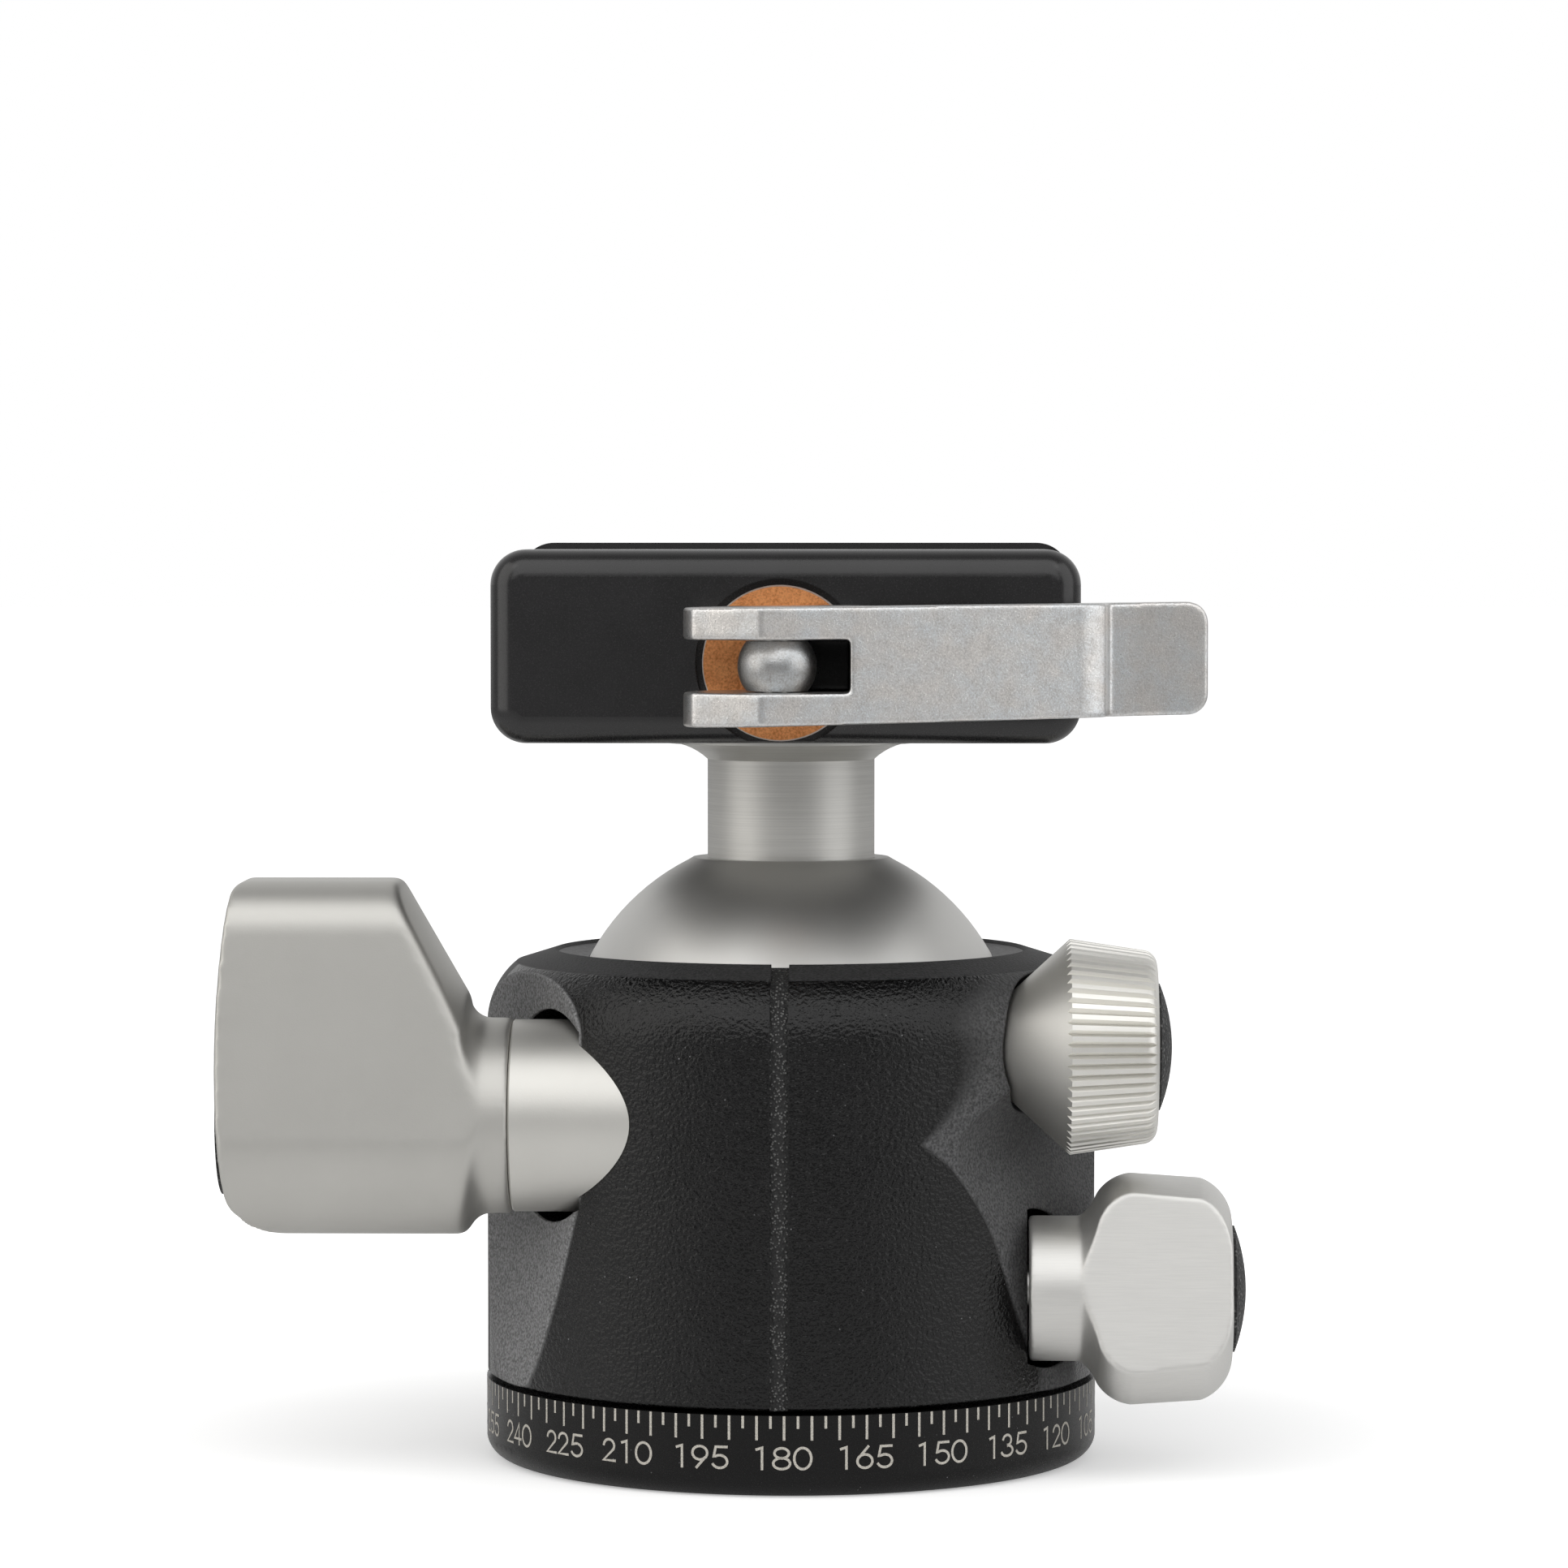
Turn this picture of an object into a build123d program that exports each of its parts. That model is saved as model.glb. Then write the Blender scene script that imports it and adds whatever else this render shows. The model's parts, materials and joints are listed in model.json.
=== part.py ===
"""Tripod ball head with a lever clamp, every piece a solid of its own, in millimetres.

The origin is the centre of the base's underside, +Z is up the neck and -Y is the front, where
the housing is slotted and the lever lies. +X is the side of the two small knobs.
"""

import os
from math import asin, cos, radians, sin, sqrt

from build123d import *

os.makedirs("parts", exist_ok=True)

# Clearances and the overrun of every cut
turning_gap = 0.05
sliding_gap = 0.04
seat_gap = 0.03
face_gap = 0.15
overrun = 3.0

# Threaded insert and the hub round it, from the tripod's thread outwards
tripod_thread_bore_radius = 3.97
insert_wall = 3.03
insert_flange_width = 1.4
insert_flange_height = 1.4
hub_bore_radius = tripod_thread_bore_radius + insert_wall
insert_flange_radius = hub_bore_radius + insert_flange_width

# Pan drum, its screws and its washer, outwards from the insert's flange
drum_bore_gap = 0.2
drum_screw_inset = 2.2
drum_screw_radius = 1.25
drum_screw_head_radius = 2.1
drum_screw_head_height = 1.1
drum_screw_depth = 4.0
drum_screw_socket_flats = 1.5
drum_screw_socket_depth = 0.6
drum_screw_count = 4
washer_width = 3.5
washer_thickness = 0.5
drum_wall = 2.2
drum_floor = 1.8
drum_height = 6.2
drum_room = 0.5
drum_head_room = 1.7
drum_bore_radius = insert_flange_radius + drum_bore_gap
drum_screw_circle_radius = drum_bore_radius + drum_screw_inset
hub_radius = drum_screw_circle_radius + drum_screw_inset
drum_radius = hub_radius + washer_width

# Ball, neck and flange
ball_radius = 20.0
ball_lift = 1.7
neck_radius = 7.32
neck_height = 8.6
shoulder_step = 1.78
shoulder_fillet = 0.5
shoulder_rise = 0.29
flange_step = 4.14
flange_cone_height = 1.5
flange_cone_hollow = 0.35
flange_rim_height = 0.6

# Housing, outwards from the ball
ball_room = 0.4
housing_wall = 6.25
housing_bottom_chamfer = 0.25
floor_gap = 0.1
shoulder_lift = 3.6
shoulder_round = 7.0
rim_crease_rise = 5.45
rim_chamfer_rise = 1.05
rim_edge_chamfer = 0.3
shoulder_middle_angle = 25.0
slot_left = 1.2
slot_right = 0.3
seal_setback = 0.35
seal_room = 0.3
cavity_radius = ball_radius + ball_room
housing_radius = cavity_radius + housing_wall

# Pan base
ring_step = 0.1
ring_gap = 0.35
base_height = 7.0
base_edge_round = 2.0
hub_rise = 5.6
base_radius = housing_radius + ring_step

# Heights that follow from the base, the hub, the drum and the ball
hub_top = base_height + hub_rise
drum_top = hub_top + drum_height
ball_centre = hub_top + ball_lift + ball_radius
shoulder_radius = neck_radius + shoulder_step
ball_shoulder = ball_centre + sqrt(ball_radius**2 - shoulder_radius**2)
neck_root = ball_shoulder + shoulder_rise
flange_radius = neck_radius + flange_step
flange_start = neck_root + neck_height
flange_top = flange_start + flange_cone_height
clamp_bottom = flange_top + flange_rim_height
housing_bottom = base_height + ring_gap
housing_floor_top = hub_top - washer_thickness - floor_gap
chamber_radius = drum_radius + drum_room
chamber_top = drum_top + drum_head_room
shoulder_start = ball_centre + shoulder_lift
rim_crease = shoulder_start + rim_crease_rise
rim_top = rim_crease + rim_chamfer_rise

# Facets that make room beside the knobs, by the direction their flat faces
left_facet_azimuth = -64.0
left_facet_depth = 2.05
left_facet_ramp = 17.65
left_facet_bend_radius = 14.0
right_facet_azimuth = 61.0
right_facet_foot_rise = 1.95
right_facet_low_depth = 1.2
right_facet_low_rise = 12.45
right_facet_depth = 4.25
right_facet_rise = 22.15
right_facet_run_out_rise = 31.9
right_facet_run_out_step = 0.3
right_facet_hollow_radius = 6.0

# Seats round the ball
lower_seat_foot = 0.94
lower_seat_height = 3.71
upper_seat_rise = 6.1
upper_seat_height = 3.3
upper_seat_slope = 0.4
upper_seat_bottom = ball_centre + upper_seat_rise
upper_seat_top = upper_seat_bottom + upper_seat_height
upper_seat_outer_top = upper_seat_top + upper_seat_slope

# The line of the main and friction locks, parallel to X: where it meets the ball and the wall
lock_line_share = 0.75
lock_y = -lock_line_share * ball_radius
lock_contact = sqrt(ball_radius**2 - lock_y**2)
lock_wall = sqrt(housing_radius**2 - lock_y**2)

# Main lock: the fixed sleeve, its shoe, the screw and the knob
main_lock_drop = 3.25
main_z = ball_centre - main_lock_drop
sleeve_radius = 8.2
sleeve_stand = 1.37
sleeve_lead = 0.23
sleeve_relief_width = 0.9
sleeve_relief_depth = 4.53
sleeve_edge_chamfer = 0.15
sleeve_outer_end = lock_wall + sleeve_stand
sleeve_inner_end = lock_contact - sleeve_lead
sleeve_relief_radius = sleeve_radius + sleeve_relief_width
sleeve_relief_end = lock_wall - sleeve_relief_depth
shoe_radius = 5.6
shoe_depth = 2.63
shoe_setback = 0.3
shoe_back = lock_wall - shoe_depth
shoe_front = sleeve_inner_end + shoe_setback
main_screw_radius = 4.0
main_screw_depth = 6.0
main_knob_gap = 0.1
main_knob_collar_length = 2.0
main_knob_collar_step = 0.15
main_knob_neck_length = 3.7
main_knob_neck_step = 2.05
main_knob_collar_hollow = 0.35
main_knob_tip = 20.2
main_knob_bottom = 10.15
main_knob_half_thickness = 8.6
main_knob_tip_half_thickness = 6.6
main_knob_tip_round = 4.6
main_knob_flank_length = 8.7
main_knob_tip_length = 14.7
main_knob_dome = 1.3
main_knob_hub_round = 4.6
main_knob_edge_round = 1.1
main_knob_corner_round = 1.3
main_cap_radius = 6.8
main_cap_rim = 0.05
main_cap_crown = 0.4
main_cap_depth = 2.0
cap_fit_gap = 0.03
main_knob_inner_end = sleeve_outer_end + main_knob_gap
main_knob_collar_end = main_knob_inner_end + main_knob_collar_length
main_knob_collar_radius = sleeve_radius + main_knob_collar_step
main_knob_cone_start = main_knob_inner_end + main_knob_neck_length
main_knob_cone_start_radius = main_knob_collar_radius + main_knob_neck_step
main_knob_tip_inner_end = main_knob_inner_end + main_knob_flank_length
main_knob_tip_outer_end = main_knob_tip_inner_end + main_knob_tip_length
main_knob_outer_end = main_knob_tip_outer_end + main_knob_dome

# Friction knob, its screw and its pad
friction_lock_lift = 2.7
friction_z = ball_centre + friction_lock_lift
friction_stub_radius = 3.5
friction_stub_depth = 4.23
friction_stub_length = 0.5
friction_stub_gap = 0.3
friction_cone_step = 0.39
friction_cone_length = 5.8
friction_radius = 9.2
friction_barrel_length = 6.4
friction_taper_step = 0.95
friction_edge_length = 1.0
friction_edge_step = 1.15
friction_groove_depth = 0.42
friction_groove_count = 60
friction_groove_point_share = 0.92
friction_groove_lead = 1.2
friction_edge_swell = 0.35
friction_pocket_gap = 0.4
friction_pad_radius = 3.0
friction_pad_length = 2.37
friction_pad_lead = 0.13
friction_screw_radius = 2.5
friction_screw_depth = 6.0
friction_cap_radius = 5.4
friction_cap_rim = 0.25
friction_cap_crown = 1.3
friction_cap_depth = 1.6
friction_stub_start = lock_wall - friction_stub_depth
friction_stub_floor = friction_stub_start - friction_stub_gap
friction_cone_start = friction_stub_start + friction_stub_length
friction_cone_start_radius = friction_stub_radius + friction_cone_step
friction_cone_end = friction_cone_start + friction_cone_length
friction_barrel_end = friction_cone_end + friction_barrel_length
friction_end_radius = friction_radius - friction_taper_step
friction_face = friction_barrel_end + friction_edge_length
friction_face_radius = friction_end_radius - friction_edge_step
friction_pad_back = lock_contact + friction_pad_length
friction_pad_front = lock_contact - friction_pad_lead

# Pan lock knob, its screw and its shoe
pan_line_inset = 2.5
pan_lock_lift = 3.6
pan_lock_y = pan_line_inset - drum_radius
pan_z = hub_top + pan_lock_lift
pan_wall = sqrt(housing_radius**2 - pan_lock_y**2)
drum_contact = sqrt(drum_radius**2 - pan_lock_y**2)
pan_collar_radius = 6.2
pan_collar_depth = 2.03
pan_collar_length = 4.35
pan_spotface_width = 0.6
pan_neck_length = 1.45
pan_neck_step = 1.9
pan_neck_hollow = 0.27
pan_shoulder_length = 2.85
pan_shoulder_step = 1.8
pan_grip_swell = 0.55
pan_grip_length = 6.0
pan_grip_taper = 0.4
pan_edge_length = 2.6
pan_edge_step = 2.9
pan_face_swell = 0.7
pan_flat_distance = 6.3
pan_flat_tilt = 11.0
pan_screw_radius = 2.0
pan_screw_depth = 6.0
pan_shoe_length = 5.57
pan_shoe_lead = 0.73
pan_shoe_gap = 0.1
pan_cap_radius = 5.4
pan_cap_rim = 0.3
pan_cap_crown = 1.3
pan_cap_depth = 1.8
pan_collar_start = pan_wall - pan_collar_depth
pan_spotface = pan_collar_start - face_gap
pan_spotface_radius = pan_collar_radius + pan_spotface_width
pan_collar_end = pan_collar_start + pan_collar_length
pan_neck_end = pan_collar_end + pan_neck_length
pan_neck_end_radius = pan_collar_radius + pan_neck_step
pan_grip_start = pan_neck_end + pan_shoulder_length
pan_grip_radius = pan_neck_end_radius + pan_shoulder_step
pan_grip_end = pan_grip_start + pan_grip_length
pan_grip_end_radius = pan_grip_radius - pan_grip_taper
pan_face = pan_grip_end + pan_edge_length
pan_face_radius = pan_grip_end_radius - pan_edge_step
pan_shoe_front = drum_contact - pan_shoe_lead
pan_shoe_back = drum_contact + pan_shoe_length
pan_screw_inner_end = pan_shoe_back + pan_shoe_gap

# Lever mechanism, on a line along Y through the jaw, upwards from the clamp's underside
rod_x = -0.4
rod_radius = 2.0
rod_eye_radius = 3.25
rod_eye_height = 4.1
lever_pin_radius = 1.25
cam_washer_thickness = 1.0
washer_rim = 0.13
backing_radius = 6.55
backing_thickness = 0.6
backing_lift = 0.23
recess_room = 0.55
recess_depth = 1.35
recess_wall = 0.25
spring_radius = 2.75
spring_wire_radius = 0.35
spring_turns = 4.0
spring_pocket_room = 0.65
spring_pocket_depth = 5.0
pocket_roof = 0.72
rod_z = clamp_bottom + backing_lift + backing_radius
washer_radius = backing_radius - washer_rim
recess_radius = backing_radius + recess_room
spring_pocket_radius = spring_radius + spring_pocket_room

# Clamp: a bed with the fixed jaw at the back, and the jaw that slides at the front
clamp_length = 49.6
jaw_corner_round = 3.0
jaw_edge_round = 2.3
jaw_closed_gap = 0.5
jaw_ledge_drop = 0.1
jaw_foot_length = 4.55
dovetail_width = 38.1
dovetail_angle = 45.0
dovetail_foot = 0.8
dovetail_rise = 3.2
dovetail_side_gap = 0.1
fixed_lip_height = 1.9
moving_lip_height = 1.4
lip_chamfer = 0.5
fixed_jaw_wall = 3.35
moving_jaw_wall = 4.85
clamp_bed = rod_z + spring_pocket_radius + pocket_roof
dovetail_half = dovetail_width / 2 + dovetail_side_gap
dovetail_slope_top = clamp_bed + dovetail_foot + dovetail_rise
fixed_jaw_top = dovetail_slope_top + fixed_lip_height
moving_jaw_top = dovetail_slope_top + moving_lip_height
fixed_jaw_back = dovetail_half + fixed_jaw_wall
moving_jaw_front = dovetail_half + moving_jaw_wall
jaw_parting = dovetail_half - jaw_foot_length

# Guide pins
guide_pin_radius = 2.0
guide_pin_from_end = 8.3
guide_pin_reach = 8.1
guide_pin_cover = 3.0
guide_pin_spacing = clamp_length - 2 * guide_pin_from_end
guide_pin_inner_end = jaw_parting - guide_pin_reach
guide_pin_outer_end = moving_jaw_front - guide_pin_cover

# Clamp screw, from the bed into the neck, and the draw rod's end beside it
clamp_screw_radius = 3.0
clamp_screw_head_radius = 4.9
clamp_screw_head_height = 3.2
clamp_screw_floor = 1.6
clamp_screw_recess = 0.5
clamp_screw_socket_flats = 4.0
clamp_screw_socket_depth = 2.0
rod_end_wall = 2.55
clamp_screw_bottom = neck_root + clamp_screw_floor
clamp_screw_room = clamp_screw_head_radius + face_gap
rod_inner_end = clamp_screw_room + rod_end_wall

# Lever, drawn in plan about its pin
lever_below_rod = 5.01
lever_above_rod = 4.79
lever_bottom_rise = 0.8
lever_top_rise = 0.38
lever_slot_height = 4.3
lever_slot_end = 5.6
lever_slot_room = 0.3
lever_web_setback = 3.6
lever_open_angle = 100.0
cam_start = 82.0
cam_start_radius = 9.97
cam_play = 0.02
cam_fall = 1.375
cam_overlap = 8.0
cam_back = 52.0
lever_nose = 4.4
lever_facet_nose = 2.1
lever_facet_start = 1.6
lever_facet_end = 7.3
lever_bar_inset = 0.5
lever_bar_end_back = 4.5
lever_bar_round_length = 2.45
lever_bar_round_back = 5.9
lever_bar_round_bulge = 0.28
lever_bar_thickness = 4.2
lever_heel_end = 7.5
lever_heel_back = 3.1
lever_step_length = 2.7
lever_step_back = 7.3
lever_bend_length = 4.9
lever_bend_back = 7.8
lever_paddle_length = 11.0
lever_paddle_end_back = 8.9
lever_paddle_thickness = 3.0
lever_paddle_round = 1.7
lever_pin_recess = 0.2
lever_bottom = rod_z - lever_below_rod
lever_top = rod_z + lever_above_rod
washer_front = moving_jaw_front - recess_depth + backing_thickness + cam_washer_thickness
lever_pin_front = washer_front + cam_start_radius - cam_play
lever_front = lever_pin_front + lever_nose
lever_facet_front = lever_pin_front + lever_facet_nose
lever_bar_end = clamp_length / 2 - lever_bar_inset
lever_bar_end_front = lever_pin_front - lever_bar_end_back
lever_bar_round_end = lever_bar_end + lever_bar_round_length
lever_bar_round_front = lever_pin_front - lever_bar_round_back
lever_heel_front = lever_pin_front - lever_heel_back
lever_paddle_start = lever_bar_end + lever_step_length
lever_paddle_start_front = lever_pin_front - lever_step_back
lever_paddle_bend = lever_bar_end + lever_bend_length
lever_paddle_front = lever_pin_front - lever_bend_back
lever_paddle_end = lever_bar_end + lever_paddle_length
lever_paddle_end_front = lever_pin_front - lever_paddle_end_back


def along_x(x, y, z):
    """A plane square to X at x, with its own x along +Y and its own y along +Z."""
    return Plane(origin=(x, y, z), x_dir=(0, 1, 0), z_dir=(1, 0, 0))


def lock_profile(y, z):
    """The plane of a profile that turns about a line parallel to X: (X, radius)."""
    return Plane(origin=(0, y, z), x_dir=(1, 0, 0), z_dir=(0, -1, 0))


def lock_axis(y, z):
    return Axis((0, y, z), (1, 0, 0))


def facet_plane(azimuth):
    """A vertical plane through the ball's axis: its x points out at the azimuth, its y up."""
    a = radians(azimuth)
    return Plane(origin=(0, 0, 0), x_dir=(sin(a), -cos(a), 0), z_dir=(-cos(a), -sin(a), 0))


def sphere_radius_at(z, radius=ball_radius):
    """Horizontal radius of a ball about the head's centre, at height z."""
    return sqrt(radius**2 - (z - ball_centre) ** 2)


def between(start, end, shift_x, shift_y):
    """The middle of two points of a sketch, shifted: the point that an arc swells or sinks to."""
    return ((start[0] + end[0]) / 2 + shift_x, (start[1] + end[1]) / 2 + shift_y)


# Pan base with its hub
with BuildPart() as pan_base:
    with BuildSketch(Plane.XZ):
        with BuildLine():
            edge_start = (base_radius - base_edge_round, 0)
            edge_end = (base_radius, base_edge_round)
            Line((hub_bore_radius, 0), edge_start)
            RadiusArc(edge_start, edge_end, -base_edge_round)
            Polyline(
                edge_end,
                (base_radius, base_height),
                (hub_radius, base_height),
                (hub_radius, hub_top),
                (insert_flange_radius + face_gap, hub_top),
                (insert_flange_radius + face_gap, hub_top - insert_flange_height),
                (hub_bore_radius, hub_top - insert_flange_height),
                (hub_bore_radius, 0),
            )
        make_face()
    revolve(axis=Axis.Z)
    with BuildSketch(Plane.XY.offset(hub_top)):
        with PolarLocations(drum_screw_circle_radius, drum_screw_count):
            Circle(drum_screw_radius)
    extrude(amount=-drum_screw_depth, mode=Mode.SUBTRACT)
pan_base.part.label = "pan_base"
export_step(pan_base.part, "parts/pan_base.step")

# Threaded insert, held by its flange
with BuildPart() as thread_insert:
    Cylinder(hub_bore_radius, hub_top - insert_flange_height, align=(Align.CENTER, Align.CENTER, Align.MIN))
    with BuildSketch(Plane.XY.offset(hub_top - insert_flange_height)):
        Circle(insert_flange_radius)
    extrude(amount=insert_flange_height)
    with BuildSketch():
        Circle(tripod_thread_bore_radius)
    extrude(amount=hub_top, mode=Mode.SUBTRACT)
thread_insert.part.label = "thread_insert"
export_step(thread_insert.part, "parts/thread_insert.step")

# Drum on the hub: its floor keeps the housing down and its wall is what the pan lock grips
drum_floor_top = hub_top + drum_floor
with BuildPart() as pan_drum:
    with BuildSketch(Plane.XZ):
        with BuildLine():
            Polyline(
                (drum_bore_radius, hub_top),
                (drum_radius, hub_top),
                (drum_radius, drum_top),
                (drum_radius - drum_wall, drum_top),
                (drum_radius - drum_wall, drum_floor_top),
                (drum_bore_radius, drum_floor_top),
                close=True,
            )
        make_face()
    revolve(axis=Axis.Z)
    with BuildSketch(Plane.XY.offset(hub_top)):
        with PolarLocations(drum_screw_circle_radius, drum_screw_count):
            Circle(drum_screw_radius)
    extrude(amount=drum_floor, mode=Mode.SUBTRACT)
pan_drum.part.label = "pan_drum"
export_step(pan_drum.part, "parts/pan_drum.step")

with BuildPart() as drum_screws:
    with BuildSketch(Plane.XY.offset(hub_top - drum_screw_depth)):
        with PolarLocations(drum_screw_circle_radius, drum_screw_count):
            Circle(drum_screw_radius)
    extrude(amount=drum_screw_depth + drum_floor)
    with BuildSketch(Plane.XY.offset(drum_floor_top)):
        with PolarLocations(drum_screw_circle_radius, drum_screw_count):
            Circle(drum_screw_head_radius)
    extrude(amount=drum_screw_head_height)
    with BuildSketch(Plane.XY.offset(drum_floor_top + drum_screw_head_height)):
        with PolarLocations(drum_screw_circle_radius, drum_screw_count):
            RegularPolygon(drum_screw_socket_flats / 2, 6, major_radius=False)
    extrude(amount=-drum_screw_socket_depth, mode=Mode.SUBTRACT)
drum_screws.part.label = "drum_screws"
export_step(drum_screws.part, "parts/drum_screws.step")

with BuildPart() as pan_washer:
    with BuildSketch(Plane.XY.offset(hub_top)):
        Circle(drum_radius)
        Circle(hub_radius, mode=Mode.SUBTRACT)
    extrude(amount=-washer_thickness)
pan_washer.part.label = "pan_washer"
export_step(pan_washer.part, "parts/pan_washer.step")

# Housing: a turned body, slotted at the front, with facets and pockets beside the knobs
rim_crease_radius = housing_radius - shoulder_round + sqrt(shoulder_round**2 - rim_crease_rise**2)
shoulder_middle = shoulder_start + shoulder_round * sin(radians(shoulder_middle_angle))
shoulder_middle_radius = housing_radius - shoulder_round * (1 - cos(radians(shoulder_middle_angle)))
outside = housing_radius + overrun

with BuildPart() as left_facet_cutter:
    with BuildSketch(facet_plane(left_facet_azimuth)) as left_facet:
        ramp_top = (housing_radius - left_facet_depth, housing_bottom + left_facet_ramp)
        Polygon(
            (housing_radius, housing_bottom),
            (outside, housing_bottom),
            (outside, rim_top + overrun),
            (ramp_top[0], rim_top + overrun),
            ramp_top,
            align=None,
        )
        fillet(left_facet.vertices().sort_by_distance(ramp_top)[0], left_facet_bend_radius)
    extrude(amount=outside, both=True)

with BuildPart() as right_facet_cutter:
    with BuildSketch(facet_plane(right_facet_azimuth)) as right_facet:
        with BuildLine():
            slant = right_facet_low_depth / (right_facet_low_rise - right_facet_foot_rise)
            start = (
                housing_radius + overrun * slant,
                housing_bottom + right_facet_foot_rise - overrun,
            )
            low = (housing_radius - right_facet_low_depth, housing_bottom + right_facet_low_rise)
            deep = (housing_radius - right_facet_depth, housing_bottom + right_facet_rise)
            run_out = (
                housing_radius + right_facet_run_out_step,
                housing_bottom + right_facet_run_out_rise,
            )
            Line(start, low)
            TangentArc(low, deep, tangent=(low[0] - start[0], low[1] - start[1]))
            TangentArc(run_out, deep, tangent=(0, -1))
            Polyline(run_out, (outside, run_out[1]), (outside, start[1]), start)
        make_face()
        fillet(right_facet.vertices().sort_by_distance(deep)[0], right_facet_hollow_radius)
    extrude(amount=outside, both=True)

with BuildPart() as housing:
    with BuildSketch(Plane.XZ):
        with BuildLine():
            Polyline(
                (hub_radius + turning_gap, housing_bottom),
                (housing_radius - housing_bottom_chamfer, housing_bottom),
                (housing_radius, housing_bottom + housing_bottom_chamfer),
                (housing_radius, shoulder_start),
            )
            ThreePointArc(
                (housing_radius, shoulder_start),
                (shoulder_middle_radius, shoulder_middle),
                (rim_crease_radius, rim_crease),
            )
            Polyline(
                (rim_crease_radius, rim_crease),
                (cavity_radius + rim_edge_chamfer, rim_top),
                (cavity_radius, rim_top - rim_edge_chamfer),
                (cavity_radius, chamber_top),
                (hub_radius + turning_gap, chamber_top),
                (hub_radius + turning_gap, housing_bottom),
            )
        make_face()
    revolve(axis=Axis.Z)
    # The chamber round the drum
    with BuildSketch(Plane.XY.offset(housing_floor_top)):
        Circle(chamber_radius)
    extrude(amount=chamber_top - housing_floor_top, mode=Mode.SUBTRACT)
    add(left_facet_cutter.part, mode=Mode.SUBTRACT)
    add(right_facet_cutter.part, mode=Mode.SUBTRACT)
    # The sleeve's bore with its wider mouth
    with BuildSketch(along_x(-sleeve_inner_end, lock_y, main_z)):
        Circle(sleeve_radius)
    extrude(amount=sleeve_inner_end - outside, mode=Mode.SUBTRACT)
    with BuildSketch(along_x(-sleeve_relief_end, lock_y, main_z)):
        Circle(sleeve_relief_radius)
    extrude(amount=sleeve_relief_end - outside, mode=Mode.SUBTRACT)
    # The pocket, bore and pad hole of the friction lock
    with BuildSketch(lock_profile(lock_y, friction_z)):
        with BuildLine():
            pocket_end = friction_cone_end + overrun
            pocket_slope = (friction_radius - friction_cone_start_radius) / friction_cone_length
            pocket_mouth = friction_radius + pocket_slope * overrun + friction_pocket_gap
            Polyline(
                (friction_stub_floor, 0),
                (friction_stub_floor, friction_stub_radius + friction_pocket_gap),
                (friction_cone_start, friction_cone_start_radius + friction_pocket_gap),
                (pocket_end, pocket_mouth),
                (pocket_end, 0),
                close=True,
            )
        make_face()
    revolve(axis=lock_axis(lock_y, friction_z), mode=Mode.SUBTRACT)
    with BuildSketch(along_x(0, lock_y, friction_z)):
        Circle(friction_pad_radius)
    extrude(amount=friction_pad_back, mode=Mode.SUBTRACT)
    with BuildSketch(along_x(0, lock_y, friction_z)):
        Circle(friction_screw_radius + turning_gap)
    extrude(amount=outside, mode=Mode.SUBTRACT)
    # The pan lock's spotface and bore
    with BuildSketch(along_x(pan_spotface, pan_lock_y, pan_z)):
        Circle(pan_spotface_radius)
    extrude(amount=outside - pan_spotface, mode=Mode.SUBTRACT)
    with BuildSketch(along_x(0, pan_lock_y, pan_z)):
        Circle(pan_screw_radius + turning_gap)
    extrude(amount=outside, mode=Mode.SUBTRACT)
    # The front slot
    with BuildSketch(Plane.XY.offset(housing_bottom)):
        with Locations(((slot_right - slot_left) / 2, -outside / 2)):
            Rectangle(slot_left + slot_right, outside)
    extrude(amount=rim_top - housing_bottom, mode=Mode.SUBTRACT)
housing.part.label = "housing"
export_step(housing.part, "parts/housing.step")

# Strip in the front slot, set back from the housing's outline all the way up to the rim
seal_radius = housing_radius - seal_setback
seal_inner_radius = cavity_radius + seal_room
seal_round = shoulder_round - seal_setback
crease_angle = asin(rim_crease_rise / shoulder_round)
with BuildPart() as slot_seal:
    with BuildSketch(Plane.XZ):
        with BuildLine():
            shoulder_foot = (seal_radius, shoulder_start)
            seal_middle = (
                seal_radius - seal_round * (1 - cos(radians(shoulder_middle_angle))),
                shoulder_start + seal_round * sin(radians(shoulder_middle_angle)),
            )
            seal_crease = (
                seal_radius - seal_round * (1 - cos(crease_angle)),
                shoulder_start + seal_round * sin(crease_angle),
            )
            Polyline(
                seal_crease,
                (seal_inner_radius, rim_top - seal_setback),
                (seal_inner_radius, housing_bottom),
                (seal_radius, housing_bottom),
                shoulder_foot,
            )
            ThreePointArc(shoulder_foot, seal_middle, seal_crease)
        make_face()
    revolve(axis=Axis.Z)
    with BuildSketch(Plane.XY.offset(housing_bottom)):
        with Locations(((slot_right - slot_left) / 2, -outside / 2)):
            Rectangle(slot_left + slot_right, outside)
    extrude(amount=rim_top - housing_bottom, mode=Mode.INTERSECT)
slot_seal.part.label = "slot_seal"
export_step(slot_seal.part, "parts/slot_seal.step")

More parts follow.
